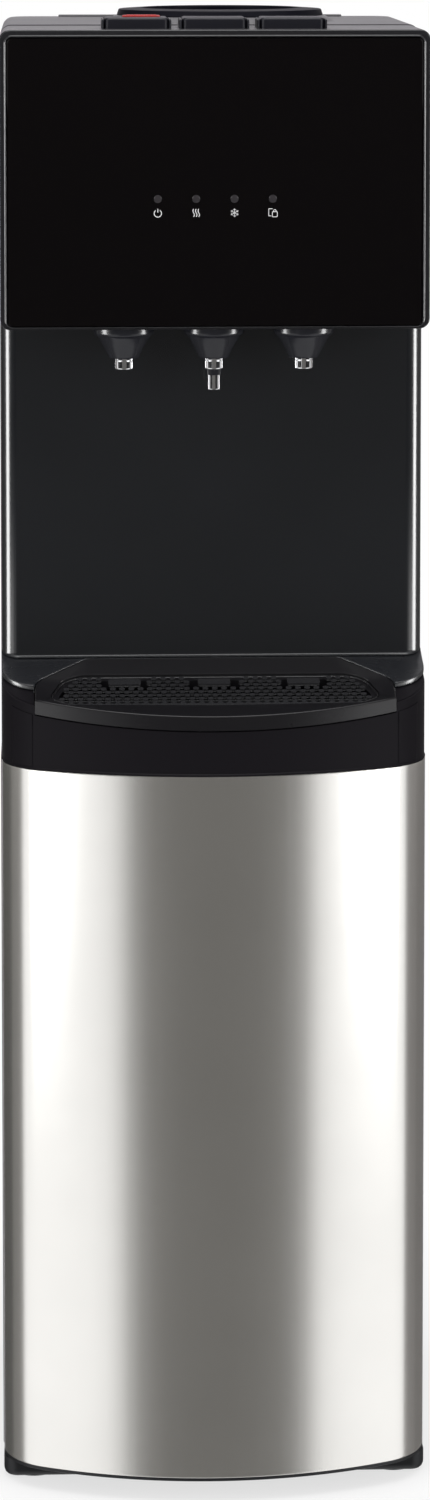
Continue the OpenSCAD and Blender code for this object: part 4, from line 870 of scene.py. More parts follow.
SIGN_DROP = 9.8
SIGN_SIZE = 0.86
SIGN_W = 0.55
SPOKE_W = 0.4
TWIG_W = 0.36
SQUARE_W = 0.45
sign_z = lamp_z - SIGN_DROP
bm = bmesh.new()
power_ring = arc(0, 0, 3.0, math.radians(125), math.radians(415), 28)
add_ribbon(bm, moved(power_ring, lamp_x[0], sign_z - 0.3), SIGN_W, face_front)
add_ribbon(bm, moved([(0, 0.4), (0, 3.4)], lamp_x[0], sign_z), SIGN_W, face_front)
for k in (-1, 0, 1):
    wave = [(0.6 * math.sin(2 * math.pi * i / 12) + 2.1 * k, -3.2 + 6.4 * i / 12) for i in range(13)]
    add_ribbon(bm, moved(wave, lamp_x[1], sign_z), SIGN_W, face_front)
for k in range(6):
    spoke = math.pi * k / 3 + math.pi / 6
    c, s = math.cos(spoke), math.sin(spoke)
    add_ribbon(bm, moved([(0.15 * c, 0.15 * s), (3.5 * c, 3.5 * s)], lamp_x[2], sign_z), SPOKE_W, face_front)
    for turn in (-1, 1):
        a = spoke + turn * 0.85
        tip = (2.0 * c + 1.2 * math.cos(a), 2.0 * s + 1.2 * math.sin(a))
        add_ribbon(bm, moved([(2.0 * c, 2.0 * s), tip], lamp_x[2], sign_z), TWIG_W, face_front)
small_square = round_rect(-0.4, -3.4, 3.6, 0.8, 0.5, 3)
add_ribbon(bm, moved(small_square, lamp_x[3], sign_z), SQUARE_W, face_front, closed=True)
handle = [(0.5, 1.1)] + arc(1.6, 1.5, 1.0, math.pi, 0, 8) + [(2.7, 1.1)]
add_ribbon(bm, moved(handle, lamp_x[3], sign_z), SQUARE_W, face_front)
broken_square = [(-1.2, -2.6), (-3.4, -2.6), (-3.4, 3.2), (-0.2, 3.2)]
add_ribbon(bm, moved(broken_square, lamp_x[3], sign_z), SQUARE_W, face_front)
finish_piece("printed_signs", bm, print_white, "cabinet", "rod_white")
print("signs under", len(lamp_x), "lamps")

# %% [markdown]
# Behind the bezel the head is a plain rounded tube, open at the back. Three openings in its top take the
# buttons, and three in its floor let the water ways through. They are cut after the skin is made.

# %% Head shell
WALL = 2.5
TAP_PITCH = 64
TAP_Y = at_depth(66)
BUTTON_PITCH = 55
BUTTON_W = 45
BUTTON_D = 41
BUTTON_ROOM = 0.5
GUARD_T = 1.6
BUTTON_Y0 = at_depth(53.5)
open_half = BUTTON_W / 2 + BUTTON_ROOM
open_back = BUTTON_Y0 + BUTTON_D + BUTTON_ROOM
button_x = [-BUTTON_PITCH, 0, BUTTON_PITCH]
tap_x = [-TAP_PITCH, 0, TAP_PITCH]
shell_y0, shell_y1 = shell_box.y0, shell_box.y1
shell_section = [(0, shell_y0, 8), (0, shell_y1 - 0.4, 8), (0.4, shell_y1, 7.6), (WALL, shell_y1, 5.5),
                 (WALL, shell_y0, 5.5)]
bm = bmesh.new()
fill_rings(bm, [head_loop(inset, y, r, low=inset) for inset, y, r in shell_section], close_back=True)
holes = []
for x in button_x:
    holes.append(block(x - open_half, BUTTON_Y0 - BUTTON_ROOM, head_z1 - 5,
                       x + open_half, open_back, head_z1 + 5, 2.5))
for x in tap_x:
    drill = bmesh.new()
    fill_rings(drill, lathe_rings([(6, -3), (6, 5)], (x, TAP_Y, head_z0), 24))
    holes.append(drill)
bm = cut_out(bm, holes)
guard_stages = [(0, head_z1 - 0.01), (0, head_z1 + 5.6), (0.25, head_z1 + 6.4), (0.8, head_z1 + 7)]
for number, x in enumerate(button_x, 1):
    guard = bmesh.new()
    fill_rings(guard, stacked_rects(x - open_half - GUARD_T, BUTTON_Y0, x + open_half + GUARD_T,
                                    open_back + GUARD_T, guard_stages, [1, 1, 4, 4], 5))
    room = block(x - open_half, BUTTON_Y0 - 9, head_z1 - 2, x + open_half, open_back, head_z1 + 9,
                 [0.1, 0.1, 2.6, 2.6])
    guard = cut_out(guard, [room])
    finish_piece("guard_" + str(number), guard, button_satin, "cabinet", "button_black")
finish_piece("head_skin", bm, head_satin, "cabinet", "head_grey", replaces=["head_shell"])

# %% [markdown]
# The top cover closes the head behind the shell. It stands a little higher than the shell, which draws the
# dark seam across the top. Its edges roll over by eight millimetres at the sides, its back corners are round
# from above, and a low cone rises round the well that takes the bottle seat.

# %% Top cover
well_x, well_y = Box("bottle_seat").cx, Box("bottle_seat").cy
cover_y0, cover_y1, cover_z0 = cover_box.y0, cover_box.y1, cover_box.z0
PAD_LOW_R = 86
PAD_TOP_R = 78
PAD_H = 5
BORE_R = 70
COVER_RISE = 0.7
ROLL_R = 8
BACK_ROLL = 2.5
ROLL_STEPS = 8
BORE_FOOT = -33.5
RIB_HALF = 109
RIB_D = 8
LEDGE_HALF = 137
LEDGE_Y0 = 150.3


def cover_loop(side, back, z):
    outline = round_rect(side - half_w, cover_y0, half_w - side, cover_y1 - back, [0, 0, 15, 15], 8)
    return [(x, y, z) for x, y in outline]


bm = bmesh.new()
stages = [(0.3, 0.3, cover_z0), (0, 0, cover_z0 + 0.3), (0, 0, head_z1 - ROLL_R)]
for i in range(1, ROLL_STEPS + 1):
    a = math.pi / 2 * i / ROLL_STEPS
    side, back = ROLL_R * (1 - math.cos(a)), BACK_ROLL * (1 - math.cos(a))
    stages.append((side, back, head_z1 - ROLL_R + (ROLL_R + COVER_RISE) * math.sin(a)))
inner = [(WALL, WALL, head_z1 - WALL), (WALL, WALL, cover_z0)]
rows = fill_rings(bm, [cover_loop(*s) for s in inner + stages], close_ends=False)
pad = [(PAD_LOW_R + 0.6, COVER_RISE), (PAD_LOW_R - 0.4, COVER_RISE + 0.12),
       (PAD_LOW_R - 1.2, COVER_RISE + 0.6), (PAD_TOP_R + 0.9, PAD_H - 0.5), (PAD_TOP_R + 0.3, PAD_H - 0.1),
       (PAD_TOP_R - 0.5, PAD_H), (BORE_R + 0.5, PAD_H), (BORE_R, PAD_H - 0.5), (BORE_R, BORE_FOOT),
       (BORE_R + 3, BORE_FOOT), (BORE_R + 3, -WALL)]
pad_rows = fill_rings(bm, lathe_rings(pad, (well_x, well_y, head_z1), 96), close_ends=False)
fill_between(bm, [rows[-1], pad_rows[0]])
fill_between(bm, [rows[0], pad_rows[-1]])
rib_y1 = cover_y1 - 10
rib_stages = [(0, head_z1 - 0.5), (0, head_z1 + 1.7), (0.2, head_z1 + 2.1), (0.6, head_z1 + 2.3)]
fill_rings(bm, stacked_rects(-RIB_HALF, rib_y1 - RIB_D, RIB_HALF, rib_y1, rib_stages, 2, 5))
ledge = round_rect(-LEDGE_HALF, LEDGE_Y0, LEDGE_HALF, cover_y1 - 1, 0.5, 2)
fill_rings(bm, slab(ledge, cover_z0 + 0.02, cover_z0 + WALL))
finish_piece("cover_skin", bm, head_satin, "cabinet", "head_grey", replaces=["top_cover"])

# %% [markdown]
# ## Buttons and child lock
# A button is a hollow cap with rounded corners, a rolled top edge and a shallow dish for the finger. The left
# one has a pocket in which the red child lock slides. The lock has three fine ribs for the fingertip.

# %% Buttons
button_names = [("hot", "hot_button"), ("normal", "normal_button"), ("cold", "cold_button")]
hot_box = Box("button_hot")
skirt_z, button_top = hot_box.z0, hot_box.z1
lock_box = Box("child_lock_slider")
cap_stages = [(2, button_top - 2.5), (2, skirt_z), (0.1, skirt_z), (0, skirt_z + 0.2), (0, button_top - 2.0),
              (0.25, button_top - 1.0), (0.8, button_top - 0.35), (1.6, button_top), (3.2, button_top),
              (4.4, button_top - 0.15), (6, button_top - 0.3)]
for x, (short, body) in zip(button_x, button_names):
    bm = bmesh.new()
    fill_rings(bm, stacked_rects(x - BUTTON_W / 2, BUTTON_Y0, x + BUTTON_W / 2, BUTTON_Y0 + BUTTON_D,
                                 cap_stages, lambda inset: max(3.2 - inset * 0.4, 0.8), 6))
    if short == "hot":
        pocket = block(lock_box.x0 - 0.3, lock_box.y0 - 4.3, button_top - 1.5, lock_box.x1 + 0.3,
                       lock_box.y1 + 0.3, button_top + 2, 1)
        bm = cut_out(bm, [pocket])
    finish_piece("cap_" + short, bm, button_satin, body, "button_black", replaces=["button_" + short])

lock_stages = [(0.3, lock_box.z0), (0, lock_box.z0 + 0.3), (0, lock_box.z1 - 0.9), (0.2, lock_box.z1 - 0.5),
               (0.7, lock_box.z1 - 0.3)]
bm = bmesh.new()
fill_rings(bm, stacked_rects(lock_box.x0, lock_box.y0, lock_box.x1, lock_box.y1, lock_stages, 1, 4))
LOCK_RIB_PITCH = 1.8
LOCK_RIB_R = 0.4
for k in (-1, 0, 1):
    rib_y, rib_z = lock_box.cy + LOCK_RIB_PITCH * k, lock_box.z1 - LOCK_RIB_R
    rib_path = [(lock_box.x0 + 3, rib_y, rib_z), (lock_box.x1 - 3, rib_y, rib_z)]
    fill_rings(bm, pipe_rings(rib_path, LOCK_RIB_R, 10))
finish_piece("lock_slider", bm, lock_red, "child_lock", "lock_red", replaces=["child_lock_slider"])

# %% [markdown]
# ## Bottle seat
# The seat is turned: a funnel with a rim that rests on the cover. Every corner of the profile is rounded, so
# that its dark rim shows a soft band of light under the top edge.

# %% Bottle seat
pad_top = head_z1 + PAD_H
seat_points = [(29, pad_top - 75), (31.5, pad_top - 75), (31.5, pad_top - 47), (61.5, pad_top - 10),
               (61.5, pad_top - 2), (69, pad_top - 2), (69, pad_top), (77, pad_top), (75.5, pad_top + 4.6),
               (59, pad_top + 5.66), (59, pad_top - 8), (29, pad_top - 45)]
seat_radii = [0.8, 0.8, 3, 3, 0.5, 0.4, 0, 0.6, 1.2, 1.3, 4, 4]
seat_profile = round_poly(seat_points, seat_radii, 5)
bm = bmesh.new()
fill_rings(bm, lathe_rings(seat_profile, (well_x, well_y, 0), 128), close_back=True)
finish_piece("seat_funnel", bm, seat_satin, "seat", "black_moulding", replaces=["bottle_seat"])

# %% [markdown]
# ## Niche and taps
# The wall of the niche is one sheet with two rounded front corners. It is these corners that mirror the room
# as two bright upright lines. A small cove closes its foot.

# %% Niche wall
NICHE_R = 13
SKIRT_HALF = 149
niche_y = niche_box.y0
niche_back = niche_box.y1


def niche_line(t, limit=None):
    """The front of the niche wall in plan, drawn in by t, from its right end to its left end."""
    start = 0 if limit is None else -math.acos((limit - half_w + NICHE_R) / (NICHE_R - t))
    right = [] if limit else [(half_w - t, niche_back)]
    right += arc(half_w - NICHE_R, niche_y + NICHE_R, NICHE_R - t, start, -math.pi / 2, 14)
    left = [(-x, y) for x, y in reversed(right)]
    middle = [(half_w - NICHE_R - (2 * half_w - 2 * NICHE_R) * i / 12, niche_y + t) for i in range(1, 12)]
    return right + middle + left


def add_wall(bm, front_line, back_line, low, high):
    """A wall between two lines in plan. low and high are heights, or functions of a point."""
    fill_rings(bm, slab(front_line + list(reversed(back_line)), low, high))


bm = bmesh.new()
add_wall(bm, niche_line(0), niche_line(WALL), lambda x, y: shelf_z(y) - 4.2, head_z0 - 0.02)
add_wall(bm, niche_line(0, SKIRT_HALF), niche_line(WALL, SKIRT_HALF - 1), niche_box.z0,
         lambda x, y: shelf_z(y) - 4.4)
finish_piece("niche_skin", bm, niche_satin, "cabinet", "niche_grey", replaces=["niche_panel"])

COVE_R = 2.8
COVE_LIFT = 0.05
COVE_TURNS = 14
COVE_STEPS = 6
cove_stations = []
for i in range(COVE_TURNS + 1):
    a = -math.pi / 2 * i / COVE_TURNS
    foot = (half_w - NICHE_R + NICHE_R * math.cos(a), niche_y + NICHE_R + NICHE_R * math.sin(a))
    cove_stations.append((foot, (math.cos(a), math.sin(a)), COVE_R * math.sin(a) ** 2))
cove_stations = cove_stations[3:]
cove_stations += [((-x, y), (-nx, ny), r) for (x, y), (nx, ny), r in reversed(cove_stations)]
rings = []
for i in range(COVE_STEPS + 1):
    a = math.pi / 2 * i / COVE_STEPS
    ring = []
    for (x, y), (nx, ny), r in cove_stations:
        out, up = r * (1 - math.sin(a)), r * (1 - math.cos(a))
        ring.append((x + nx * out, y + ny * out, shelf_z(y) + up + COVE_LIFT))
    rings.append(ring)
inside = [((x - nx * 0.3, y - ny * 0.3), r) for (x, y), (nx, ny), r in cove_stations]
rings.append([(x, y, shelf_z(y) + r + COVE_LIFT) for (x, y), r in inside])
rings.append([(x, y, shelf_z(y) + COVE_LIFT) for (x, y), r in inside])
bm = bmesh.new()
fill_swept(bm, rings)
finish_piece("niche_cove", bm, niche_satin, "cabinet", "niche_grey")

# %% [markdown]
# A tap shows a dark cone with a rounded flange and a chrome tip. The middle one has a short spout on a dark
# collar as well. All are turned, so a profile for each says everything, with a real bore for the water.

# %% Taps
def turned_taps(name, profile, across, steps, finish, slot, **stands_for):
    """One piece turned from a profile at each place across the taps."""
    bm = bmesh.new()
    for x in across:
        fill_rings(bm, lathe_rings(profile, (x, TAP_Y, 0), steps), close_back=True)
    finish_piece(name, bm, finish, "cabinet", slot, **stands_for)


BORE = 3
cone_low = Box("tap_cones").z0
tip_low = Box("tap_tips").z0
spout_low = Box("middle_spout").z0
cone_profile = [(7.3, head_z0), (7.3, cone_low + 0.3), (7.6, cone_low), (9.9, cone_low),
                (10.5, cone_low + 0.5), (11.0, cone_low + 1.4), (15.2, cone_low + 9.5),
                (18.6, head_z0 - 7.2), (19.8, head_z0 - 6.2), (20.7, head_z0 - 5.6), (21.2, head_z0 - 4.9),
                (21.45, head_z0 - 4.0), (21.5, head_z0 - 3.0), (21.5, head_z0)]
turned_taps("cones", cone_profile, tap_x, 64, cone_satin, "cone_black", replaces=["tap_cones"])

tip_profile = [(BORE, head_z0 - 1), (BORE, tip_low + 0.5), (BORE + 0.5, tip_low), (6.2, tip_low),
               (6.9, tip_low + 0.3), (7.2, tip_low + 1), (7.2, tip_low + 5.6), (6.9, tip_low + 6.0),
               (6.9, tip_low + 6.6), (7.2, tip_low + 7.0), (7.2, head_z0 - 1)]
turned_taps("chrome_tips", tip_profile, tap_x, 64, tip_chrome, "tip_chrome", replaces=["tap_tips"])

COLLAR_H = 4.4
collar_low = tip_low - COLLAR_H
collar_profile = [(BORE, tip_low), (BORE, collar_low), (5.0, collar_low), (5.5, collar_low + 0.5),
                  (5.5, tip_low)]
turned_taps("spout_collar", collar_profile, [0], 48, cone_satin, "cone_black")
spout_profile = [(BORE, collar_low), (BORE, spout_low + 0.3), (BORE + 0.3, spout_low), (4.2, spout_low),
                 (4.6, spout_low + 0.3), (4.7, spout_low + 0.8), (4.7, collar_low)]
turned_taps("spout", spout_profile, [0], 48, tip_chrome, "tip_chrome", replaces=["middle_spout"])

# %% [markdown]
# ## Shelf, tray and grid
# The shelf, the tray rim and the grid lie in one sloping plane, so all three are plates drawn from above and
# put on that plane. The opening in the shelf has two S-shaped corners, which the tray follows with a small
# gap.

# %% Shelf surround
TRAY_HALF = 128
TRAY_BACK = at_depth(93)
TRAY_BACK_HALF = 92
TRAY_SIDE = at_depth(57)
WING_R = 30


def tray_back(t, steps=8):
    """The side and back edge of the tray in plan, drawn in by t, from the right front to the left front."""
    w, b, k = TRAY_HALF - t, TRAY_BACK - t, TRAY_BACK_HALF - 0.4 * t
    right = round_corner((w, arc_front_y(w, t)), (w, TRAY_SIDE - 0.4 * t), (k, b), 25, steps)
    right += round_corner((w, TRAY_SIDE), (k, b), (-k, b), 8, steps)
    return right + [(-x, y) for x, y in reversed(right)]


def tray_plan(t, steps=8, front_steps=32):
    w = TRAY_HALF - t
    front = [(-w + 2 * w * i / front_steps, arc_front_y(-w + 2 * w * i / front_steps, t))
             for i in range(front_steps + 1)]
    return front + tray_back(t, steps)


MOUTH_GAP = 0.5
gap_line = tray_back(-MOUTH_GAP)
wing_front = at_depth(50)
wing_cx = half_w - WING_R
mouth_x = TRAY_HALF + MOUTH_GAP
mouth_angle = math.asin((mouth_x - wing_cx) / WING_R)
right_wing = arc(wing_cx, wing_front + WING_R, WING_R, mouth_angle - math.pi / 2, 0, 12)
shelf_back = arc(half_w - NICHE_R, niche_y + NICHE_R, NICHE_R + 0.3, -0.05, -math.pi / 2, 10)
shelf_outline = right_wing + [(half_w, niche_y + NICHE_R - 1)] + shelf_back[1:]
shelf_outline += [(-x, y) for x, y in reversed(shelf_back[1:])] + [(-half_w, niche_y + NICHE_R - 1)]
shelf_outline += [(-x, y) for x, y in reversed(right_wing)] + list(reversed(gap_line))
bm = bmesh.new()
add_plate(bm, shelf_outline, [], on_shelf(0), 4, rim=0.9)
# The mitred rim stands out behind the wings, so its points are held to the width of the dispenser.
for v in bm.verts:
    v.co.x = max(-half_w * MM, min(half_w * MM, v.co.x))
finish_piece("shelf_plate", bm, shelf_satin, "cabinet", "shelf_black", replaces=["shelf_surround"])
print("shelf outline", len(shelf_outline), "points")

# %% [markdown]
# The grid is a plate with staggered round holes and three long slots under the taps. The same formula as in
# the model places the holes. Each hole has a small rounded rim, and these rims make the bright specks.

# %% Drip grid
GRID_PITCH = 6.6
GRID_HOLE_R = 2.2
GRID_HALF = 118
GRID_FRONT = 24
GRID_BACK = 72
SLOT_W = 27
SLOT_D = 10
SLOT_MID = 62


def grid_plan(t, steps=6):
    w, k = GRID_HALF - t, GRID_HALF - 12 - t
    f, b, s = at_depth(GRID_FRONT) + t, at_depth(GRID_BACK) - t, at_depth(GRID_FRONT + 12)
    return round_poly([(0, f - 0.001), (w - 14, f + 3), (w, s), (k, b), (-k, b), (-w, s), (14 - w, f + 3)],
                      [0, 12, 10, 22, 22, 10, 12], steps)


def in_slot(x, d):
    near = min(abs(x - s) for s in tap_x)
    return abs(d - SLOT_MID) < SLOT_D / 2 + GRID_HOLE_R + 1.2 and near < SLOT_W / 2 + GRID_HOLE_R + 1.2


def in_grid(x, d):
    edge = GRID_HALF - 6 - max(0, d - GRID_FRONT - 12) * 0.32 - max(0, GRID_FRONT + 11 - d) * 0.8
    return abs(x) < edge


row_d = GRID_PITCH * 0.8
grid_holes = []
for j in range(int((GRID_BACK - GRID_FRONT - 10) / row_d) + 1):
    for i in range(-int(GRID_HALF / GRID_PITCH), int(GRID_HALF / GRID_PITCH) + 1):
        x, d = (i + (j % 2) / 2) * GRID_PITCH, GRID_FRONT + 6 + j * row_d
        if in_grid(x, d) and not in_slot(x, d):
            grid_holes.append((x, at_depth(d)))
cuts = [circle(x, y, GRID_HOLE_R - 0.15, 14) for x, y in grid_holes]
slot_y = at_depth(SLOT_MID)
SLOT_LIP_X = 2.0
SLOT_LIP_Y = 0.9
slot_x, slot_back = SLOT_W / 2 - SLOT_LIP_X, SLOT_D / 2 - SLOT_LIP_Y
cuts += [round_rect(s - slot_x, slot_y - slot_back, s + slot_x, slot_y + slot_back, 1.5, 4) for s in tap_x]
bm = bmesh.new()
add_plate(bm, grid_plan(0), cuts, on_shelf(3), 1.7, rim=0.5, hole_rim=0.15)
finish_piece("grid_plate", bm, grid_satin, "grid", "black_moulding", replaces=["drip_grid"])
print("grid holes", len(grid_holes))

# %% [markdown]
# The tray has a rim in the shelf plane, a front face that follows the curved front, a step that carries the
# grid, and a basin below. The rim and the face are one skin, and the basin hangs under it as a second one.

# %% Drip tray
TRAY_FACE_H = 10.6
tray_box = Box("drip_tray")
outer_stages = [(2.2, 0.35, "top"), (1.3, 0.1, "top"), (0.7, 0.15, "top"), (0.2, 0.5, "top"), (0, 1.1, "top"),
                (0, 0.4, "low"), (0.4, 0, "low")]
bm = bmesh.new()


def tray_height(kind, y, down):
    return shelf_z(y) - down if kind == "top" else shelf_z(y) - TRAY_FACE_H + down


outer_rows = []
for inset, down, kind in outer_stages:
    outer_rows.append([(x, y, tray_height(kind, y, down)) for x, y in tray_plan(inset)])
outer_rows = fill_rings(bm, outer_rows, close_ends=False)
step_rows = []
for t, down, kind in [(-1.4, 2.4, "top"), (-0.7, 2.6, "top"), (-0.5, 3.1, "top"), (-0.5, 5.0, "top"),
                      (4, 5.0, "top"), (4, 0, "low")]:
    step_rows.append([(x, y, tray_height(kind, y, down)) for x, y in grid_plan(t)])
step_rows = fill_rings(bm, step_rows, close_ends=False)
fill_between(bm, [outer_rows[0], step_rows[0]])
fill_between(bm, [outer_rows[-1], step_rows[-1]])
basin = []
for t, z in [(5.2, None), (5.2, tray_box.z0 + 3.5), (6.4, tray_box.z0 + 2), (4.6, tray_box.z0),
             (3.2, tray_box.z0 + 1.5), (3.2, None)]:
    basin.append([(x, y, tray_height("low", y, 0.3) if z is None else z) for x, y in tray_plan(t)])
rows = fill_rings(bm, basin, close_ends=False)
bm.faces.new(rows[2])
bm.faces.new(rows[3])
for i in range(len(rows[0])):
    j = (i + 1) % len(rows[0])
    bm.faces.new((rows[0][i], rows[0][j], rows[-1][j], rows[-1][i]))
stray = [f for f in bm.faces if len(f.verts) == 4 and all(v in rows[2] or v in rows[3] for v in f.verts)]
bmesh.ops.delete(bm, geom=stray, context="FACES_ONLY")
finish_piece("tray_body", bm, tray_satin, "tray", "tray_black", replaces=["drip_tray"])

# %% [markdown]
# The housing under the shelf carries the tray. Its front follows the steel below, and drops to a lower edge
# between the two corners, where the tray's face fills it. Each corner carries a thin raised panel with a
# small tab at its top, built on the same outline with more points so that its ends land where they should.

# %% Tray housing
housing_box = Box("tray_housing")
STEP_X = 128.5
UNDER_SHELF = 4.3
DECK_Z = niche_box.z0
WALL_FRONT = -144


def housing_plan(inset):
    """The front outline with extra points beside the steps at the tray's ends."""
    points = front_plan(inset, housing_box.y1, 14, 40)
    out = []
    for a, b in zip(points[:-1], points[1:]):
        out.append(a)
        marks = [m for m in (STEP_X + 0.2, STEP_X - 0.2, 0.2 - STEP_X, -0.2 - STEP_X) if b[0] < m < a[0]]
        for m in marks:
            share = (a[0] - m) / (a[0] - b[0])
            out.append((m, a[1] + share * (b[1] - a[1])))
    return out + [points[-1]]


def housing_top(x, y, down=0.0):
    if abs(x) < STEP_X and y < at_depth(60):
        return shelf_z(y) - TRAY_FACE_H - MOUTH_GAP - down
    return shelf_z(y) - UNDER_SHELF - down


def under_corner(x, y):
    return shelf_z(y) - UNDER_SHELF - 0.05


base_plan = housing_plan(0)
rings = []
low_z = housing_box.z0


def drawn_in(t):
    loop = [(base_plan[0][0], base_plan[0][1] + 50)] + base_plan + [(base_plan[-1][0], base_plan[-1][1] + 50)]
    return inset_loop(loop, -t)[1:-1]


housing_stages = [(0.6, "low", 0), (0.15, "low", 0.2), (0, "low", 0.7), (0, "low", 1.2), (0.6, "low", 1.9),
                  (0.6, "top", 0.9), (0.8, "top", 0.3), (1.3, "top", 0), (WALL, "top", 0.1), (WALL, "low", 0)]
for t, kind, down in housing_stages:
    ring = []
    for (bx, by), (x, y) in zip(base_plan, drawn_in(t)):
        ring.append((x, y, low_z + down if kind == "low" else housing_top(bx, by, down)))
    rings.append(ring)
bm = bmesh.new()
fill_swept(bm, rings)
deck = front_plan(WALL, housing_box.y1, 10, 24)
fill_rings(bm, slab(deck, DECK_Z - 3, DECK_Z))
for side in (-1, 1):
    corner = [(x, y) for x, y in drawn_in(WALL - 0.3) if x > STEP_X and y < niche_y - 0.5]
    corner = [(corner[0][0], niche_y - 0.3)] + corner + [(STEP_X, corner[-1][1]), (STEP_X, niche_y - 0.3)]
    if side == 1:
        corner = list(reversed(corner))
    else:
        corner = [(-x, y) for x, y in corner]
    fill_rings(bm, slab(corner, lambda x, y: shelf_z(y) - UNDER_SHELF - WALL, under_corner))
    x0, x1 = (STEP_X, STEP_X + 2) if side == 1 else (-STEP_X - 2, -STEP_X)
    wall = [(x0, WALL_FRONT), (x1, WALL_FRONT), (x1, TRAY_BACK), (x0, TRAY_BACK)]
    fill_rings(bm, slab(wall, DECK_Z, lambda x, y: shelf_z(y) - 4.5))
finish_piece("housing_skin", bm, housing_satin, "cabinet", "tray_black", replaces=["tray_housing"])

TAB_DROP = 11.0
TAB_H = 8.0
TAB_GAP = 1.2
SEAM_INSET = 7.5


def corner_line(side, inset):
    """The part of the front outline that one corner panel covers."""
    plan = front_plan(inset, housing_box.y1, 60, 200)
    return [(x, y) for x, y in plan if STEP_X + TAB_GAP < side * x < half_w - SEAM_INSET]


def tab_top(x, y):
    return shelf_z(y) - TAB_DROP


bm = bmesh.new()
for side in (-1, 1):
    behind = corner_line(side, 1.2)
    add_wall(bm, corner_line(side, 0.3), behind, low_z + 2.2, tab_top)
    add_wall(bm, corner_line(side, 0.05), behind, lambda x, y: tab_top(x, y) - TAB_H, tab_top)
finish_piece("corner_tabs", bm, housing_satin, "cabinet", "tray_black")

# %% [markdown]
# ## Base and floor strip
# The base is a shallow moulding with rounded lower edges, hollow underneath, with a boss for each rubber
# foot. The strip between it and the steel follows the curved front.

# %% Base, floor strip and feet
base_box = Box("base_plate")
base_stages = [(9, base_box.z1 - 4), (8.5, base_box.z0), (4.2, base_box.z0), (2.2, base_box.z0 + 0.7),
               (0.9, base_box.z0 + 2.0), (0.2, base_box.z0 + 3.8), (0, base_box.z0 + 5.5),
               (0, base_box.z1 - 0.6), (0.2, base_box.z1 - 0.15), (0.6, base_box.z1)]
bm = bmesh.new()
fill_rings(bm, stacked_rects(base_box.x0, base_box.y0, base_box.x1, base_box.y1, base_stages,
                             lambda inset: max(10 - inset, 2), 8))
FOOT_INSET = 22
BOSS_R = 20
BOSS_BORE = 14.2
under_top = base_box.z1 - 3
foot_y = (base_box.y0 + FOOT_INSET, base_box.y1 - FOOT_INSET)
foot_spots = [(side * (half_w - FOOT_INSET), y) for side in (-1, 1) for y in foot_y]
boss_profile = [(BOSS_BORE, base_box.z0), (BOSS_R - 0.5, base_box.z0), (BOSS_R, base_box.z0 + 0.5),
                (BOSS_R, under_top), (BOSS_BORE, under_top)]
for x, y in foot_spots:
    fill_rings(bm, lathe_rings(boss_profile, (x, y, 0), 48), close_back=True)
for side in (-1, 1):
    x = side * half_w / 3
    rib = round_rect(x - 2, base_box.y0 + 5, x + 2, base_box.y1 - 5, 0.5, 2)
    fill_rings(bm, slab(rib, base_box.z0 + 0.5, under_top))
finish_piece("base_skin", bm, base_black, "cabinet", "black_moulding", replaces=["base_plate"])

bm = bmesh.new()
foot_profile = [(0.1, 0), (12.4, 0), (13.3, 0.3), (13.7, 1.0), (13.7, 3.0), (0.1, 3.0)]
for x, y in foot_spots:
    fill_rings(bm, lathe_rings(foot_profile, (x, y, 0), 48))
finish_piece("feet", bm, foot_rubber, "cabinet", "rubber", replaces=["foot_pads"])

strip_box = Box("floor_strip")
strip_top = steel_box.z0 - 0.02
bm = bmesh.new()
strip_profile = [(0.5, strip_box.z0 + 0.02), (0.1, strip_box.z0 + 0.3), (0, strip_box.z0 + 0.8),
                 (0, strip_top - 0.5), (0.2, strip_top - 0.1), (0.6, strip_top), (6, strip_top),
                 (6, strip_box.z0 + 0.02)]
sweep_front(bm, strip_profile, steel_box.y1, 16, 48)
lip_profile = [(1.35, strip_top), (1.35, strip_box.z1 - 0.4), (1.7, strip_box.z1), (3.2, strip_box.z1),
               (3.5, strip_box.z1 - 0.4), (3.5, strip_top)]
sweep_front(bm, lip_profile, steel_box.y1, 12, 24)
finish_piece("strip_skin", bm, base_black, "cabinet", "black_moulding", replaces=["floor_strip"])

# %% [markdown]
# ## Side and back sheets
# The side sheets are cut and folded from painted steel. Each is a plate with slightly rounded rims, and a
# narrow flange is folded in at the back, where the back sheet is screwed on. The slots in the back sheet let
# the warm air of the condenser out.

# %% Side sheets
side_box = Box("side_panel_right")
SHEET_FRONT = at_depth(80.3)
SHEET_NICHE = at_depth(132.3)
sheet_step = steel_box.z1 - 0.3
sheet_outline = [(SHEET_FRONT, side_box.z0), (side_box.y1, side_box.z0), (side_box.y1, side_box.z1),
                 (SHEET_NICHE, side_box.z1), (SHEET_NICHE, sheet_step), (SHEET_FRONT, sheet_step)]
sheet_outline = round_poly(sheet_outline, [1, 1.5, 1.5, 1.5, 1.5, 1.5], 4)


def sheet_place(side):
    if side > 0:
        return lambda u, v, w: (side_box.x1 - w, u, v)
    return lambda u, v, w: (w - side_box.x1, -u, v)


flange_y = side_box.y1 - 2.3
for side, hand in ((1, "right"), (-1, "left")):
    outline = sheet_outline if side > 0 else [(-u, v) for u, v in reversed(sheet_outline)]
    bm = bmesh.new()
    add_plate(bm, outline, [], sheet_place(side), 1.0, rim=0.3)
    x0, x1 = sorted((side * (side_box.x1 - 14), side * (side_box.x1 - 1.02)))
    flange = round_rect(x0, side_box.z0 + 0.5, x1, side_box.z1 - 0.5, 1, 3)
    add_plate(bm, flange, [], flat_xz(flange_y), 1.0, rim=0.25)
    finish_piece("sheet_" + hand, bm, side_paint, "cabinet", "side_paint", replaces=["side_panel_" + hand])

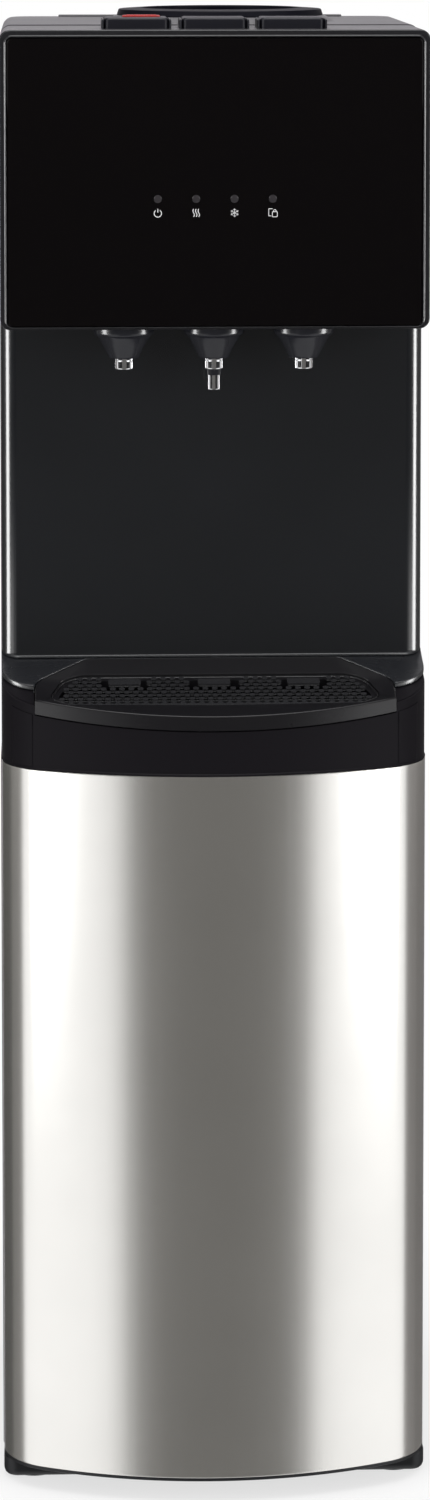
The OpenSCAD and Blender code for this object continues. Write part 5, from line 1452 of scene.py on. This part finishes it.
# %% Back sheet
rear_box = Box("rear_panel")
screw_z = [rear_box.z0 + 12 + i * (rear_box.h - 23.7) / 4 for i in range(5)]
screw_spots = [(side * (rear_box.x1 - 7), z) for side in (-1, 1) for z in screw_z]
DRAIN_X = Box("drain_plug").cx
DRAIN_Z = Box("drain_plug").cz
GLAND_X = Box("cord_gland").cx
GLAND_Z = Box("cord_gland").cz
SWITCH_Z = Box("switch_frame").cz
condenser_box = Box("condenser")


def mirrored(points):
    return [(-x, z) for x, z in reversed(points)]


VENT_X = -110
VENT_H = 5
SCREW_R = 1.6
PIPE_X = 110
PIPE_R = 3.5


def vent_slots(columns, pitch, width, low, lines, rise):
    """Columns of round-ended slots, from the left one and from the lowest line."""
    slots = []
    for i in range(columns):
        for j in range(lines):
            x, z = VENT_X + pitch * i, low + rise * j
            slots.append(round_rect(x, z, x + width, z + VENT_H, 2.4, 4))
    return slots


vents = vent_slots(3, 80, 60, 100, 9, 14) + vent_slots(2, 180, 40, condenser_box.z1 + 20, 4, 13)
rounds = [circle(x, z, SCREW_R, 16) for x, z in screw_spots]
rounds += [circle(DRAIN_X, DRAIN_Z, 9, 32), circle(GLAND_X, GLAND_Z, 9.2, 32)]
rounds += [circle(PIPE_X, condenser_box.z0 + 510, PIPE_R, 20),
           circle(-PIPE_X, condenser_box.z0 + 10, PIPE_R, 20)]
window = round_rect(-36, SWITCH_Z - 19, 36, SWITCH_Z + 19, 1, 3)
bm = bmesh.new()
rear_outline = round_rect(rear_box.x0, rear_box.z0, rear_box.x1, rear_box.z1, 1.5, 4)
rear_holes = [mirrored(hole) for hole in vents + rounds + [window]]
add_plate(bm, mirrored(rear_outline), rear_holes, back_xz(rear_box.y1), 1.0, rim=0.3, hole_rim=0.25)
finish_piece("back_sheet", bm, back_paint, "cabinet", "back_paint", replaces=["rear_panel"])
print("vents", len(vents), "screws", len(screw_spots))

# %% [markdown]
# Small parts on the back are turned too: pan head screws with a recess, the cable gland, and the drain plug
# with a scalloped grip. The mains switches are a frame with two rockers, each with its bar and ring raised.

# %% Screws, gland and drain plug
back_face = rear_box.y1
bm = bmesh.new()
screw_profile = [(0.05, -3), (1.5, -3), (1.5, 0), (3.5, 0), (3.5, 0.8), (3.2, 1.3), (2.5, 1.7), (1.6, 1.95),
                 (1.3, 2.0), (1.15, 1.0), (0.05, 0.9)]
for x, z in screw_spots:
    fill_rings(bm, lathe_rings(screw_profile, (x, back_face, z), 24, "Y"))
finish_piece("pan_screws", bm, zinc, "cabinet", "zinc_steel", replaces=["rear_screws"])

gland_profile = [(4, -12), (8.9, -12), (8.9, 0), (12, 0), (12, 2.3), (11.4, 3), (9.4, 3), (8.9, 3.5),
                 (8.9, 6), (8.4, 6.4), (8.4, 7.2), (8.9, 7.6), (8.9, 9), (8.4, 9.4), (8.4, 10.2),
                 (8.9, 10.6), (8.9, 13), (8.2, 14), (4.5, 14), (4, 13.5)]
bm = bmesh.new()
fill_rings(bm, lathe_rings(gland_profile, (GLAND_X, back_face, GLAND_Z), 48, "Y"), close_back=True)
nut = [(13, -6.2), (13, -1.4), (9, -1.4), (9, -6.2)]
fill_rings(bm, lathe_rings(nut, (GLAND_X, back_face, GLAND_Z), 6, "Y"), close_back=True)
finish_piece("gland", bm, base_black, "cabinet", "black_moulding", replaces=["cord_gland"])

bm = bmesh.new()
plug_stages = [(4.3, -8), (4.9, -7.2), (4.9, 14.0), (8.3, 14.0), (9, 14.6), (9, 18.2), (8.5, 18.8), (7.6, 19),
               (6, 18.6)]
PLUG_STEPS = 72
PLUG_SCALLOPS = 12
SCALLOP_DEPTH = 0.5
rings = []
for r, back in plug_stages:
    ring = []
    for i in range(PLUG_STEPS):
        a = 2 * math.pi * i / PLUG_STEPS
        reach = r - (SCALLOP_DEPTH * (0.5 + 0.5 * math.cos(PLUG_SCALLOPS * a)) if r > 8 else 0)
        ring.append((DRAIN_X + reach * math.cos(a), back_face + back, DRAIN_Z + reach * math.sin(a)))
    rings.append(ring)
fill_rings(bm, rings)
finish_piece("plug", bm, silicone, "drain", "silicone", replaces=["drain_plug"])

# %% Switches
SWITCH_PITCH = 34
SWITCH_W = 24
SWITCH_H = 34
ROCKER_TILT = math.radians(9)
pivot = Vector((0, back_face - 4, SWITCH_Z))
switch_z0, switch_z1 = SWITCH_Z - SWITCH_H / 2, SWITCH_Z + SWITCH_H / 2
windows = [round_rect(x - SWITCH_W / 2, switch_z0, x + SWITCH_W / 2, switch_z1, 0.6, 3)
           for x in (-SWITCH_PITCH / 2, SWITCH_PITCH / 2)]
bm = bmesh.new()
rim_outline = round_rect(-40, SWITCH_Z - 23, 40, SWITCH_Z + 23, 3, 6)
add_plate(bm, mirrored(rim_outline), [mirrored(w) for w in windows], back_xz(back_face + 2), 1.95, rim=0.7,
          hole_rim=0.3)
body_outline = round_rect(-35.7, SWITCH_Z - 18.7, 35.7, SWITCH_Z + 18.7, 1, 3)
add_plate(bm, mirrored(body_outline), [mirrored(w) for w in windows], back_xz(back_face), 16, rim=0)
add_plate(bm, mirrored(body_outline), [], back_xz(back_face - 16.02), 1.95, rim=0.2)
finish_piece("switch_bezel", bm, base_black, "cabinet", "black_moulding", replaces=["switch_frame"])

ROCKER_END = 15.5
ROCKER_DIP = 4.2
ROCKER_PEAK = 7
rocker_points = [(-5, -7), (0, -ROCKER_END), (ROCKER_PEAK, -ROCKER_END), (ROCKER_DIP, 0),
                 (ROCKER_PEAK, ROCKER_END), (0, ROCKER_END), (-5, 7)]
rocker_section = round_poly(rocker_points, [1, 1, 1.2, 6, 1.2, 1, 1], 5)
rocker_half = (SWITCH_W - 0.8) / 2


def on_rocker(x, y, z):
    """A point of a rocker, tilted about its pivot."""
    c, s = math.cos(ROCKER_TILT), math.sin(ROCKER_TILT)
    return (x, pivot.y + y * c - z * s, pivot.z + y * s + z * c)


def rocker_mark(mid_x):
    """A place function for a mark on the rocker's face."""
    return lambda u, v, w: on_rocker(mid_x - u, ROCKER_DIP + 2.8 * abs(v) / ROCKER_END + 0.12 - w, v)


rocker_stages = [(-rocker_half, 0.6), (-rocker_half + 0.2, 0.2), (-rocker_half + 0.7, 0),
                 (rocker_half - 0.7, 0), (rocker_half - 0.2, 0.2), (rocker_half, 0.6)]
rockers = [(-1, "hot", rocker_red, "rocker_red"), (1, "cold", rocker_green, "rocker_green")]
for side, short, material, slot in rockers:
    mid_x = side * SWITCH_PITCH / 2
    rings = []
    for x, inset in rocker_stages:
        loop = inset_loop(rocker_section, inset) if inset else rocker_section
        rings.append([on_rocker(mid_x + x, y, z) for y, z in loop])
    bm = bmesh.new()
    fill_rings(bm, rings)
    pin = [(1.5, -SWITCH_W / 2 - 1.3), (1.5, SWITCH_W / 2 + 1.3)]
    fill_rings(bm, lathe_rings(pin, (mid_x, pivot.y, pivot.z), 20, "X"))
    body = short + "_switch"
    finish_piece("rocker_" + short, bm, material, body, slot, replaces=[short + "_switch_rocker"])
    bm = bmesh.new()
    bar = round_rect(-0.6, 5.5, 0.6, 11.5, 0.3, 3)
    ring_out, ring_in = circle(0, -8.5, 3.1, 28), circle(0, -8.5, 2.1, 28)
    add_plate(bm, bar, [], rocker_mark(mid_x), 0.4, rim=0.05)
    add_plate(bm, ring_out, [ring_in], rocker_mark(mid_x), 0.4, rim=0.05)
    finish_piece("rocker_marks_" + short, bm, print_white, body, "rod_white")
print("switches at", round(SWITCH_Z, 1))

# %% [markdown]
# ## Edge lights
# The bright lines on the rounded edges of the niche and the bezel come from the two strip lamps at the sides.
# Light linking keeps these lamps off the other pieces, which would glare in the views from the side.

# %% Edge lights
edge_lit = bpy.data.collections.new("edge_lit")
for name in ("niche_skin", "bezel_frame", "shelf_plate", "cones"):
    edge_lit.objects.link(bpy.data.objects[name])
for strip in strips:
    strip.light_linking.receiver_collection = edge_lit

# %% End of the scene
print("scene so far")
